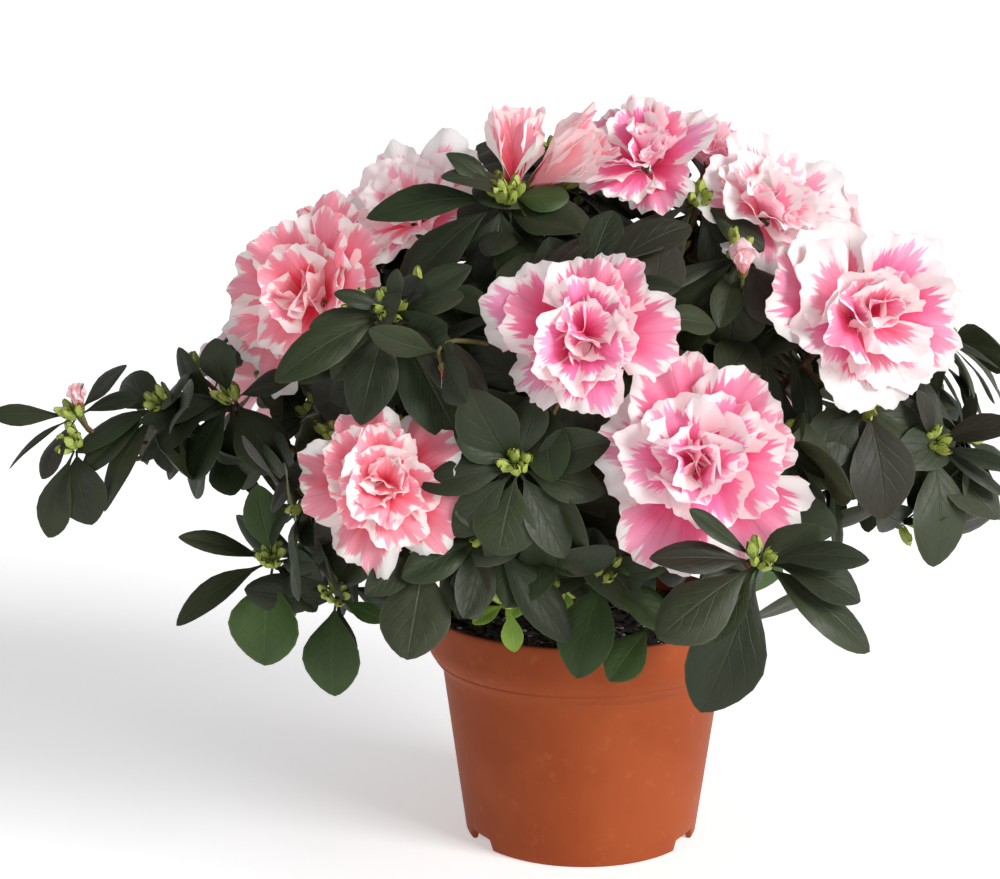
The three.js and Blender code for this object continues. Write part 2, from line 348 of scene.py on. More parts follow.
class Nodes:
    """A node tree that is written as expressions."""

    def __init__(self, tree):
        self.tree = tree

    def node(self, kind, settings, *values, **named):
        """Any node: its settings first, then the values or links of its sockets."""
        node = self.tree.nodes.new(kind)
        for key, value in settings.items():
            if key == "stops":
                self.set_stops(node.color_ramp, value)
            else:
                setattr(node, key, value)
        inputs = [s for s in node.inputs if s.enabled]
        pairs = list(zip(inputs, values))
        pairs += [(node.inputs[key.replace("_", " ")], value) for key, value in named.items()]
        for socket, value in pairs:
            if isinstance(value, Amount):
                self.tree.links.new(value.socket, socket)
            elif value is not None:
                socket.default_value = value
        return Amount(self, next(s for s in node.outputs if s.enabled))

    @staticmethod
    def set_stops(ramp, stops):
        ramp.interpolation = "CONSTANT"
        ramp.elements.remove(ramp.elements[1])
        ramp.elements[0].position = stops[0][0]
        ramp.elements[0].color = stops[0][1]
        for place, colour in stops[1:]:
            ramp.elements.new(place).color = colour

    def mix(self, share, first, second, blend="MIX"):
        """Two colours mixed by share, or blended where another blend is named."""
        settings = {"data_type": "RGBA", "blend_type": blend}
        return self.node("ShaderNodeMix", settings, share, first, second)

    def steps(self, place, colours):
        """One of several colours, picked by a place that runs from 0 to 1."""
        stops = [(i / len(colours), colour) for i, colour in enumerate(colours)]
        return self.node("ShaderNodeValToRGB", {"stops": stops}, place)

    def split(self, vector):
        """The three parts of a vector."""
        node = self.node("ShaderNodeSeparateXYZ", {}, vector).socket.node
        return [Amount(self, socket) for socket in node.outputs]

    def chart(self):
        """Column, row and the place inside one cell of the atlas."""
        u, v, _ = self.split(self.node("ShaderNodeUVMap", {"uv_map": "OFBake"}))
        wide = u * ATLAS
        high = v * ATLAS
        stretch = 1 / (1 - 2 * CELL_MARGIN)
        a = (wide.part() - CELL_MARGIN) * stretch
        b = (high.part() - CELL_MARGIN) * stretch
        return wide.whole(), high.whole(), a, b

    def vector(self, x, y, z=0.0):
        return self.node("ShaderNodeCombineXYZ", {}, x, y, z)

    def noise(self, place, scale, detail=2.0, rough=0.5):
        values = {"Vector": place, "Scale": scale, "Detail": detail, "Roughness": rough}
        return self.node("ShaderNodeTexNoise", {"noise_dimensions": "3D"}, **values)

    def place_by(self, output):
        """A place on the surface or in the sky, by the name of its output."""
        node = self.node("ShaderNodeTexCoord", {}).socket.node
        return Amount(self, node.outputs[output])

    def object_place(self):
        return self.place_by("Object")

    def bump(self, height, strength, distance):
        values = {"Height": height, "Strength": strength, "Distance": distance}
        return self.node("ShaderNodeBump", {}, **values)


class Paint(Nodes):
    """One procedural material on a Principled shader."""

    def __init__(self, name, **constants):
        self.material = bpy.data.materials.new(name)
        self.material.use_nodes = True
        super().__init__(self.material.node_tree)
        self.shader = next(n for n in self.tree.nodes if n.type == "BSDF_PRINCIPLED")
        for socket, value in constants.items():
            self.shader.inputs[socket.replace("_", " ")].default_value = value

    def feed(self, **sockets):
        for name, value in sockets.items():
            self.tree.links.new(value.socket, self.shader.inputs[name.replace("_", " ")])


def tone(red, green, blue):
    """A colour given as it looks, 0 to 255, as linear light."""

    def linear(part):
        share = part / 255
        return share / 12.92 if share <= 0.04045 else ((share + 0.055) / 1.055) ** 2.4

    return (linear(red), linear(green), linear(blue), 1.0)


# ------------------------------------------------------------------ leaf tones

DARK, PURPLE, MID, FRESH, PALE_UNDER, DARK_UNDER = range(6)
LEAF_CELLS = {
    DARK: (12, 13, 14, 15, 8),
    PURPLE: (9, 10),
    MID: (11, 4, 5),
    FRESH: (6, 7),
    PALE_UNDER: (0, 1),
    DARK_UNDER: (2, 3),
}
# One tone for each cell: four undersides, then brighter leaves, then dark ones.
LEAF_TONES = [
    tone(100, 116, 74),
    tone(108, 128, 70),
    tone(66, 76, 50),
    tone(76, 84, 58),
    tone(46, 66, 25),
    tone(52, 74, 31),
    tone(102, 136, 50),
    tone(122, 152, 60),
    tone(38, 46, 24),
    tone(36, 35, 24),
    tone(38, 38, 26),
    tone(42, 60, 24),
    tone(29, 36, 19),
    tone(34, 42, 23),
    tone(44, 50, 32),
    tone(32, 43, 20),
]

# How much lighter than the blade its veins and margin are, and its mottled patches.
VEIN_LIFT = (2.1, 2.0, 1.7, 1.0)
PATCH_LIFT = (1.5, 1.45, 1.4, 1.0)
VEIN_PAIRS = 8.0
VEIN_SLANT = 5.4  # how many spacings a vein climbs for one width of the blade


def leaf_paint():
    """Pale veins and margin on a mottled blade, with fine hairs that catch the light."""
    paint = Paint("azalea_leaf", Specular_IOR_Level=0.32, Sheen_Weight=0.03, Sheen_Roughness=0.5)
    column, row, a, b = paint.chart()
    cell = row * ATLAS + column
    base = paint.steps((cell + 0.5) / len(LEAF_TONES), LEAF_TONES)
    side = (a - 0.5).size()
    midrib = (1.0 - side.between(0.006, 0.03)) * (1.0 - b * 0.55)
    arms = ((b * VEIN_PAIRS - side * VEIN_SLANT) * TAU).wave().between(0.86, 1.0)
    veins = arms * (1.0 - side.between(0.28, 0.46)) * 0.5
    grain = paint.noise(paint.vector(a * 7.0 + cell * 3.1, b * 12.0, cell), 1.6, 4.0, 0.6)
    blotch = paint.noise(paint.vector(a * 2.0 + cell * 1.7, b * 3.0, cell), 1.0, 2.0)
    margin = side.between(0.462, 0.49) * 0.6
    light = paint.mix(1.0, base, VEIN_LIFT, "MULTIPLY")
    colour = paint.mix(midrib * 0.5 + veins * 0.12 + margin, base, light)
    hairs = paint.noise(paint.vector(a * 17.0 + cell * 3.1, b * 30.0, cell), 1.6, 2.0)
    hairs = hairs.between(0.62, 0.74)
    shade = grain.between(0.3, 0.75) * 0.45 + blotch.between(0.3, 0.7) * 0.5 + hairs * 0.9
    colour = paint.mix(shade, colour, paint.mix(1.0, colour, PATCH_LIFT, "MULTIPLY"))
    height = grain * 0.35 - midrib * 1.2 - veins * 0.8
    paint.feed(
        Base_Color=colour,
        Roughness=grain.between(0.2, 0.8) * 0.16 + 0.44,
        Normal=paint.bump(height, 0.4, 0.001),
    )
    return paint.material


# ------------------------------------------------------------------ leaf shape

LEAF_SHEET = Sheet(6, 12)
BUD_SHEET = Sheet(2, 5)

# The stalk as a share of the leaf, then sizes in mm.
STALK_SHARE = 0.07
STALK_HALF_WIDTH = 0.55
TIP_HALF_WIDTH = 0.1
LEAF_THICKNESS = 0.35


def running_total(steps):
    """Sums along each row, from 0 at its start."""
    return np.concatenate([np.zeros((len(steps), 1)), np.cumsum(steps, axis=1)], axis=1)


def leaf(
    heap,
    random,
    foot,
    toward,
    upper,
    length,
    tones,
    width=None,
    bend=None,
    fold=None,
    sheet=LEAF_SHEET,
):
    """One leaf. toward runs from foot to tip; upper is the way its glossy face looks. bend is how
    far it arches down, in radians, and fold how far its halves rise from the midrib."""
    width = width or length * random.uniform(0.4, 0.6)
    bend = random.uniform(0.15, 0.9) if bend is None else bend
    fold = random.uniform(0.05, 0.5) if fold is None else fold
    u, v = sheet.u, sheet.v
    v = 0.15 * v + 0.85 * (0.5 - 0.5 * np.cos(math.pi * v))
    blade = np.clip((v - STALK_SHARE) / (1 - STALK_SHARE), 0, 1)
    arch = np.clip(np.sin(math.pi * blade ** random.uniform(1.1, 1.4)), 0, 1)
    half = 0.5 * width * arch ** (1.0 - 0.34 * blade)
    half = np.maximum(half, np.where(v > 0.5, TIP_HALF_WIDTH, STALK_HALF_WIDTH))
    pitch = bend * (v - 0.25)
    run = running_total(np.cos(pitch[:, 1:]) * np.diff(v) * length)
    drop = running_total(np.sin(pitch[:, 1:]) * np.diff(v) * length)
    sway = random.uniform(-0.06, 0.06) * length * v**2
    wave = random.uniform(0, TAU)
    rise = fold * np.abs(u) * half - 0.35 * fold * u**2 * half
    rise = rise + 0.14 * half * u * np.sin(wave + 5 * v)
    rise = rise - random.uniform(0.0, 0.35) * half * u**4
    local = np.stack([u * half + sway, run, rise - drop], axis=-1)
    ahead = unit(toward)
    face = square_to(ahead, upper)
    face = unit(face + random.uniform(-0.22, 0.22) * np.cross(ahead, face))
    points = foot + local @ np.stack([np.cross(ahead, face), ahead, face])
    cell = random.choice(LEAF_CELLS[tones])
    under = random.choice(LEAF_CELLS[PALE_UNDER if tones in (MID, FRESH) else DARK_UNDER])
    sheet.add(heap, points, cell, under, min(LEAF_THICKNESS, 0.015 * length))


def bud_scale(heap, random, foot, ahead, out, opening, length, width, bend, fold):
    """A small pointed scale that stands outside a bud and leans out by opening."""
    toward = ahead + opening * out
    leaf(heap, random, foot, toward, ahead - out, length, FRESH, width, bend, fold, BUD_SHEET)


# ------------------------------------------------------------------ petals

PINK, CORAL, PALE, MIXED = range(4)
# Cells of a petal's inner face. The cell OUTER_CELLS lower is its plain outer face.
OUTER_CELLS = 8
PETAL_CELLS = {PINK: (8, 9, 10), CORAL: (11, 12), PALE: (13, 14, 15), MIXED: (9, 13, 10, 15)}
# Middle of the flame, its throat and how far up the petal it reaches, for each of eight cells.
PETAL_TONES = [
    (tone(242, 104, 156), tone(214, 24, 84), 0.94),
    (tone(246, 126, 172), tone(222, 40, 100), 0.86),
    (tone(240, 88, 134), tone(206, 18, 72), 0.96),
    (tone(240, 88, 106), tone(200, 24, 54), 0.98),
    (tone(244, 106, 120), tone(208, 30, 58), 0.90),
    (tone(248, 148, 174), tone(236, 76, 116), 0.84),
    (tone(248, 158, 172), tone(234, 84, 108), 0.88),
    (tone(244, 128, 156), tone(230, 62, 98), 0.74),
]


def petal_paint():
    """A white ruffled margin, jagged pink flames out of a deep throat and fine darker veins, with a
    faint painted glow in the same colours that stands in for light shining through the petals.
    """
    paint = Paint(
        "azalea_petal",
        Roughness=0.6,
        Sheen_Weight=0.1,
        Specular_IOR_Level=0.25,
        Subsurface_Weight=0.5,
        Subsurface_Radius=(1.0, 0.5, 0.6),
        Subsurface_Scale=0.003,
        # Painted light: the petals glow faintly in their own colours, so their pinks stay bright in
        # shade as if lit through.
        Emission_Strength=0.1,
    )
    column, row, a, b = paint.chart()
    front = row.between(1.4, 1.6)
    kind = ((row - 2.0 * front) * ATLAS + column + 0.5) / len(PETAL_TONES)
    heart = paint.steps(kind, [middle for middle, _, _ in PETAL_TONES])
    throat = paint.steps(kind, [deep for _, deep, _ in PETAL_TONES])
    reach = paint.steps(kind, [(share, share, share, 1.0) for _, _, share in PETAL_TONES])
    side = (a - 0.5).size() * 2.0
    strand = paint.noise(paint.vector(a * 16.0 + column * 4.7, b * 1.5, row * 3.0), 1.0, 3.0, 0.65)
    lobe = paint.noise(paint.vector(a * 3.4 + column * 2.3, b * 0.6, row * 5.0), 1.0, 1.0)
    edge = reach * (1.0 - 0.85 * side**5.0) + (strand - 0.5) * 0.75 + (lobe - 0.5) * 0.5
    flame = (edge - b).between(-0.03, 0.06)
    fine = paint.noise(paint.vector(a * 36.0 + column * 9.0, b * 1.1, row), 1.0, 2.0)
    veins = fine.between(0.5, 0.7) * (1.0 - b * 0.6)
    deep = 1.0 - (b + (strand - 0.5) * 0.5).between(0.2, 0.8)
    light = (b + (lobe - 0.5)).between(0.5, 1.0) * 0.35
    colour = paint.mix(light, heart, tone(250, 196, 214))
    colour = paint.mix(deep * 0.9, colour, throat)
    colour = paint.mix(veins * 0.4, colour, throat)
    wash = (edge + 0.2 - b).between(0.0, 0.45) * 0.3 + 0.03
    white = paint.mix(wash, tone(246, 236, 235), heart)
    upper = paint.mix(flame, white, colour)
    under = paint.mix(0.24 + 0.36 * (1.0 - b.between(0.2, 0.95)), tone(244, 228, 230), heart)
    under = paint.mix(flame * 0.4 + veins * 0.12, under, heart)
    height = strand * 0.6 + veins * 0.5
    face = paint.mix(front, under, upper)
    # The face colour also feeds the emission: a painted glow, not a lamp.
    paint.feed(Base_Color=face, Emission_Color=face, Normal=paint.bump(height, 0.35, 0.0007))
    return paint.material


PETAL_SHEET = Sheet(30, 12)
PETALOID_SHEET = Sheet(20, 9)
PETAL_THICKNESS = 0.22  # mm


def petal(heap, random, axes, foot, turn, length, spread, lean, cup, ruffle, tones, sheet, flamed=0):
    """One petal. turn is its place round the bloom and spread its half-width, in radians. lean
    holds the angles from the bloom's axis at the foot and at the tip. cup and ruffle are how far
    its sides rise and its rim waves. flamed is 1 where the outer face has flames too."""
    u, v = sheet.u, sheet.v
    phase = [random.uniform(0, TAU) for _ in range(6)]
    frill = 0.026 * np.sin(u * 7 + phase[0]) + 0.02 * np.sin(u * 16 + phase[1])
    frill = frill + 0.014 * np.sin(u * 33 + phase[2])
    outline = 1 - 0.30 * np.abs(u) ** 2.8 + frill * v**2 + 0.05 * np.sin(2.6 * u + phase[2]) * v
    angle = u * spread * (0.40 + 0.60 * v**0.7)
    reach = v * length * outline
    along = reach * np.cos(angle)
    across = reach * np.sin(angle) * 1.04
    station = np.linspace(0, 1.3 * length, 60)
    pitch = lean[0] + (lean[1] - lean[0]) * np.clip(station / length, 0, 1.2) ** 1.3
    out = np.concatenate([[0], np.cumsum(np.sin(pitch[1:]) * station[1])])
    rise = np.concatenate([[0], np.cumsum(np.cos(pitch[1:]) * station[1])])
    r = 0.05 * length + np.interp(along, station, out)
    z = np.interp(along, station, rise)
    tilt = np.interp(along, station, pitch)
    swell = 0.62 * np.sin(random.uniform(1.6, 3.4) * u + phase[3] + 0.6 * v)
    swell += 0.5 * np.sin(random.uniform(5.0, 7.5) * u + phase[4] + 1.2 * v) * v
    swell += 0.3 * np.sin(random.uniform(12, 17) * u + phase[5]) * v**3
    crease = -0.5 * np.exp(-((u / 0.13) ** 2)) * (1 - 0.6 * v)
    lift = cup * across**2 / length + ruffle * swell * (0.15 * v + 0.85 * v**2.2)
    lift = lift + 0.035 * length * crease * v + random.uniform(-0.3, 0.3) * across * v
    r = r - lift * np.cos(tilt)
    z = z + lift * np.sin(tilt)
    across = across + random.uniform(-0.14, 0.14) * along
    x = r * math.cos(turn) - across * math.sin(turn)
    y = r * math.sin(turn) + across * math.cos(turn)
    points = foot + np.stack([x, y, z], axis=-1) @ axes.T
    cell = random.choice(PETAL_CELLS[tones])
    outer = cell - OUTER_CELLS * (1 - flamed)
    sheet.add(heap, points[::-1], cell, outer, PETAL_THICKNESS)


# For each ring of petals: how many, share of the full length, lean at the foot and at the tip
# in degrees, half-width in degrees, cupping, depth of the ruffles.
BLOOM_RINGS = [
    (5, 1.00, 50, 92, 38, 0.00, 0.10),
    (5, 0.88, 38, 76, 40, 0.20, 0.13),
    (4, 0.76, 24, 56, 42, 0.45, 0.17),
    (4, 0.60, 10, 36, 46, 0.85, 0.21),
    (3, 0.42, 2, 16, 58, 1.30, 0.24),
]
BROAD_RINGS = 3  # whose petals get the finer sheet


def bloom(heap, random, at, faces, radius, tones):
    """A double bloom: rings of ruffled petals, broad outside and crumpled inside."""
    axes = basis(faces, UP + 0.2 * FRONT)
    foot = at - 0.45 * radius * axes[:, 2]
    start = random.uniform(0, TAU)
    for number, (count, share, low, high, spread, cup, ruffle) in enumerate(BLOOM_RINGS):
        sheet = PETAL_SHEET if number < BROAD_RINGS else PETALOID_SHEET
        stray = [0.11 * number * random.uniform(-1, 1) for _ in range(2)]
        ring_axes = basis(axes @ np.array([*stray, 1.0]), axes[:, 0])
        for i in range(count):
            turn = start + TAU * (i + 0.5 * (number % 2)) / count
            turn += random.uniform(-0.22, 0.22) * (1 + 0.3 * number)
            wander = random.uniform(-11, 11) * (1 + 0.4 * number)
            aside = [0.035 * number * radius * random.uniform(-1, 1) for _ in range(2)]
            lean = [math.radians(a + wander * w) for a, w in ((low, 0.4), (high, 1.0))]
            length = radius * share * random.uniform(0.88, 1.1)
            petal(
                heap,
                random,
                ring_axes,
                foot + axes @ np.array([*aside, 0.04 * number * radius]),
                turn,
                length,
                math.radians(spread * random.uniform(0.86, 1.1)),
                lean,
                cup + random.uniform(-0.3, 0.3),
                ruffle * length * random.uniform(0.7, 1.25),
                tones,
                sheet,
            )
    return foot, axes[:, 2]


# For each ring of a flower bud: how many petals, share of its length, lean at foot and tip.
OPENING_RINGS = [(4, 1.0, 14, 9), (4, 0.96, 9, 2), (3, 0.86, 4, -4)]
CLOSED_RINGS = [(4, 1.0, 30, -62), (3, 0.94, 18, -48)]
BUD_CUP = 1.3
BUD_RUFFLE = 0.045


def flower_bud(heap, random, foot, toward, length, rings, flamed):
    """Petals still wrapped round each other."""
    axes = basis(toward, UP + 0.2 * FRONT)
    for ring, (count, share, low, high) in enumerate(rings):
        for i in range(count):
            turn = TAU * (i + 0.4 * ring) / count + random.uniform(-0.2, 0.2)
            lean = [
                math.radians(low + random.uniform(-3, 3)),
                math.radians(high + random.uniform(-4, 6)),
            ]
            petal(
                heap,
                random,
                axes,
                foot,
                turn,
                length * share * random.uniform(0.9, 1.05),
                math.radians(random.uniform(24, 30)),
                lean,
                BUD_CUP,
                BUD_RUFFLE * length,
                CORAL,
                PETALOID_SHEET,
                flamed,
            )


# ------------------------------------------------------------------ layout of the crown

# Blooms: the mass they stand in, their place in its box, the way they face, radius and colour.
BLOOMS = [
    ("left_high", (0.05, -0.62, 0.06), (-0.58, -0.76, 0.30), 40, CORAL),
    ("front_left", (0.06, 1.05, 0.84), (-0.42, -0.55, 0.72), 33, PALE),
    ("top_right", (-0.62, -0.30, 0.36), (-0.20, -0.72, 0.62), 29, PINK),
    ("top_right", (0.10, 0.30, 0.42), (0.25, -0.30, 0.90), 25, PINK),
    ("top_right", (0.60, -0.42, -0.12), (0.22, -0.74, 0.62), 32, PALE),
    ("right_high", (-0.04, -0.80, -0.02), (0.18, -0.93, 0.26), 40, MIXED),
    ("front_centre", (-0.10, -0.55, 0.20), (-0.24, -0.90, 0.36), 34, PINK),
    ("front_low_right", (-0.18, -0.76, 0.17), (0.05, -0.93, 0.34), 41, PINK),
    ("front_low_left", (0.08, -0.80, 0.08), (-0.12, -0.95, 0.18), 30, CORAL),
    ("back_left", (-0.10, 0.45, 0.35), (-0.55, 0.62, 0.55), 38, PINK),
    ("back_right", (0.25, 0.45, 0.30), (0.60, 0.60, 0.52), 38, CORAL),
    ("back_centre", (0.05, 0.62, 0.10), (0.05, 0.96, 0.28), 40, PINK),
    ("left_back", (-0.45, 0.35, 0.10), (-0.84, 0.46, 0.20), 35, PALE),
    ("right_back", (0.00, 0.80, 0.00), (0.78, 0.58, 0.24), 36, PINK),
    ("back_low_left", (0.00, 0.55, 0.10), (-0.30, 0.90, 0.12), 36, CORAL),
    ("back_low_right", (0.15, 0.55, 0.10), (0.36, 0.90, 0.15), 35, PINK),
    ("top_back", (0.10, 0.40, 0.25), (0.10, 0.45, 0.88), 34, PALE),
]

# Opening buds: mass, place, the way they point, length, and 1 where flames show outside.
OPENING_BUDS = [
    ("top_front", (0.16, -0.38, 0.10), (0.06, -0.20, 0.97), 33, 1),
    ("top_front", (0.30, -0.42, 0.16), (0.72, -0.30, 0.56), 36, 0),
    ("back_centre", (-0.70, 0.40, 0.55), (-0.30, 0.50, 0.80), 32, 1),
]

# Closed small buds that show colour, in the same way.
SMALL_BUDS = [
    ("top_right", (0.24, -1.20, -0.83), (0.0, -0.5, 0.85), 16, 0),
    ("far_left", (0.22, -0.42, 0.45), (-0.1, -0.2, 1.0), 12, 0),
    ("front_left", (0.45, -1.12, -0.40), (0.45, -0.50, -0.72), 12, 1),
    ("right_back", (0.10, -0.60, 0.70), (0.3, -0.2, 0.9), 12, 0),
    ("back_left", (-0.70, -0.20, 0.40), (-0.6, 0.1, 0.8), 12, 0),
]

# Shoots seen from the front: mass, place, way the shoot points, leaf tone, and its leaves as
# clock hours seen from the front, each with a length and the width as a share of it.
SHOOTS = [
    ("top_front", (0.05, -0.62, 0.02), (0.0, -0.6, 0.8), DARK,
     [(9.1, 50, 0.32), (7.8, 52, 0.42), (6.2, 34, 0.7), (3.2, 34, 0.5), (10.6, 26, 0.5),
      (4.9, 34, 0.5)]),
    ("top_front", (0.12, -0.66, 0.04), (0.0, -0.6, 0.8), MID, [(2.7, 21, 0.72), (4.0, 16, 0.6)]),
    ("front_left", (0.02, -0.72, 0.02), (0.05, -0.75, 0.65), DARK,
     [(4.2, 48, 0.36), (5.0, 50, 0.5), (8.3, 47, 0.38), (8.8, 28, 0.4), (1.9, 32, 0.36),
      (2.4, 27, 0.45), (10.0, 21, 0.36), (12.3, 16, 0.4), (6.6, 40, 0.5), (7.4, 30, 0.5)]),
    ("front_low_middle", (-0.22, -0.78, 0.76), (0.0, -0.8, 0.6), DARK,
     [(6.5, 30, 0.78), (8.9, 34, 0.4), (10.2, 25, 0.5), (3.5, 30, 0.5), (2.2, 33, 0.5),
      (12.4, 26, 0.5), (5.0, 34, 0.5), (7.7, 32, 0.45)]),
    ("front_right_skirt", (-0.07, -1.00, 0.78), (0.1, -0.7, 0.7), DARK,
     [(9.3, 38, 0.38), (10.3, 30, 0.34), (8.1, 44, 0.52), (6.7, 56, 0.48), (3.3, 36, 0.52),
      (4.1, 48, 0.44), (2.4, 37, 0.3), (7.4, 36, 0.5)]),
    ("right_low", (0.06, -0.55, 0.28), (0.35, -0.7, 0.6), DARK,
     [(5.7, 46, 0.56), (3.9, 34, 0.3), (3.3, 30, 0.32), (2.1, 32, 0.42), (8.1, 32, 0.5),
      (11.6, 22, 0.4)]),
    ("right_low", (-0.59, -0.70, 0.74), (0.1, -0.9, 0.2), DARK,
     [(6.4, 36, 0.82), (5.5, 44, 0.6), (7.3, 40, 0.6)]),
    ("right_high", (0.43, -0.20, -0.31), (0.8, -0.4, 0.4), DARK,
     [(3.6, 34, 0.24), (4.2, 34, 0.42)]),
    ("top_right", (-0.11, -0.50, -0.17), (0.0, -0.6, 0.7), DARK,
     [(8.3, 44, 0.28), (7.2, 34, 0.4), (5.2, 34, 0.5), (3.9, 30, 0.5)]),
    ("top_right", (0.22, -0.95, -0.67), (0.1, -0.7, 0.7), DARK,
     [(8.6, 42, 0.26), (7.4, 46, 0.5), (6.2, 34, 0.8), (4.7, 30, 0.7)]),
    ("left_low", (0.06, -0.42, -0.08), (-0.2, -0.6, 0.75), DARK,
     [(8.3, 42, 0.3), (10.0, 38, 0.28), (2.8, 26, 0.32), (4.4, 24, 0.5)]),
    ("left_low", (0.08, -0.50, -0.05), (-0.2, -0.6, 0.75), MID,
     [(6.3, 38, 0.76), (11.6, 30, 0.48)]),
    ("left_low", (0.48, -0.60, -0.46), (0.0, -0.7, 0.6), MID,
     [(6.2, 36, 0.62), (3.6, 20, 0.4)]),
    ("front_low_left", (0.42, -0.62, -0.62), (0.0, -0.8, 0.5), DARK,
     [(6.3, 38, 0.7), (4.6, 30, 0.45), (8.0, 26, 0.5)]),
    ("far_left", (0.16, -0.30, 0.34), (-0.3, -0.4, 0.85), DARK,
     [(9.2, 32, 0.44), (8.1, 32, 0.24), (7.2, 26, 0.6), (1.2, 28, 0.46), (2.1, 24, 0.5),
      (12.4, 14, 0.45)]),
    ("far_left", (0.14, -0.35, -0.04), (-0.4, -0.5, 0.6), DARK, [(6.75, 36, 0.5), (5.7, 30, 0.76)]),
    ("left_middle", (-0.58, -0.40, 0.00), (-0.4, -0.5, 0.6), DARK,
     [(8.4, 37, 0.46), (7.9, 40, 0.3), (7.3, 46, 0.3), (5.8, 24, 0.6)]),
    ("left_middle", (0.20, -0.40, 0.10), (-0.4, -0.5, 0.75), DARK,
     [(8.3, 42, 0.42), (8.8, 36, 0.34), (11.3, 24, 0.7), (6.0, 34, 0.8), (7.2, 34, 0.6),
      (4.8, 32, 0.7), (2.0, 28, 0.5)]),
    ("front_low_middle", (0.62, -0.45, -0.27), (0.1, -0.7, 0.5), MID,
     [(6.7, 38, 0.58), (4.2, 30, 0.52), (9.4, 18, 0.3), (2.4, 24, 0.4)]),
    ("front_low_middle", (1.10, -0.45, -0.72), (0.1, -0.7, 0.5), MID, [(7.4, 26, 0.6)]),
    ("front_low_middle", (0.07, 0.90, -0.66), (0.0, -0.6, 0.8), FRESH,
     [(12.4, 18, 0.4), (7.6, 20, 0.5), (4.6, 16, 0.5)]),
    ("front_low_middle", (-0.30, 0.20, -0.72), (0.0, -0.6, 0.8), FRESH,
     [(5.8, 17, 0.5), (8.2, 14, 0.5)]),
    ("front_low_middle", (-0.50, -0.55, 0.10), (0.0, -0.7, 0.5), DARK,
     [(4.6, 46, 0.36), (6.6, 30, 0.5), (8.4, 34, 0.45)]),
    ("top_right", (-0.06, 0.30, -0.35), (0.0, -0.5, 0.7), DARK,
     [(7.0, 38, 0.7), (8.2, 40, 0.6), (5.2, 36, 0.7), (6.1, 32, 0.8), (3.6, 34, 0.6)]),
]

# Room left empty, as low and high corners in mm: none of the scattered leaves reaches into it.
OPEN_SPACES = [
    ((-46, -116, 0), (40, -30, 124)),
    ((-70, -150, 0), (70, -60, 100)),
    ((-240, -150, 0), (-135, 150, 142)),
    ((64, -150, 0), (180, 10, 122)),
    ((-150, -100, 250), (-82, 60, 330)),
    ((-180, -100, 214), (-134, 80, 330)),
    ((-60, -60, 284), (20, 120, 330)),
    ((-90, -120, 244), (-52, -35, 330)),
    ((105, -60, 246), (180, 120, 330)),
    ((125, -80, 206), (180, 60, 250)),
]

# How many scattered shoots a mass may carry, how often a place for one is tried, and how far
# apart shoots stand in mm. The masses named in SPARSE carry fewer.
SHOOTS_PER_MASS = 14
PLACES_TRIED = 320
SHOOT_SPACING = 20
SPARSE = {"far_left": 0, "left_low": 0, "left_middle": 3, "right_low": 4, "front_right_skirt": 1}
BARE_ARM = "far_left"  # its twigs carry no leaves below the whorls

# Masses topped by blooms: about how high in the box their shoots reach.
SHOOT_CEILING = {
    "left_high": 0.05,
    "front_left": 0.15,
    "top_front": 0.1,
    "top_right": -0.1,
    "right_high": 0.0,
}

# A bloom keeps leaves out of a cylinder: its radius and how far it reaches behind, both as shares
# of the bloom's radius.
CLEAR_RADIUS = 1.04
CLEAR_DEPTH = 0.55

# Fewest and most green buds in a cluster, and leaves in a scattered whorl.
SMALL_CLUSTER = (4, 6)
LARGE_CLUSTER = (6, 9)
WHORL_LEAVES = (6, 9)

# Shortest and longest leaves in mm, and how many dark ones have a purple tinge.
LEAF_LENGTHS = (29, 46)
SIDE_LEAF_LENGTHS = (27, 41)
PURPLE_SHARE = 0.16

# Scales round the foot of each bloom, and how long they are in mm.
CALYX_SCALES = 7
BLOOM_CALYX = 4.5
OPENING_CALYX = 9
SMALL_CALYX = 5


def clock(hour, forward):
    """A direction seen as a clock hour from the front, leaning forward by that share."""
    angle = TAU * hour / 12
    return unit([math.sin(angle), -forward, math.cos(angle)])


def shade_of(random, place):
    """Some leaves low down near the stem are a brighter green than the rest."""
    inner = place[2] < 1.5 * POT_HEIGHT and np.linalg.norm(place[:2]) < 1.3 * POT_HALF[0]
    return MID if inner and random.uniform(0, 1) < 0.4 else DARK


def outward_of(place):
    """The way out of the crown there."""
    return unit(place - CROWN_HEART)


QUARTERS = ["front_left", "front_right", "back_left", "back_right"]


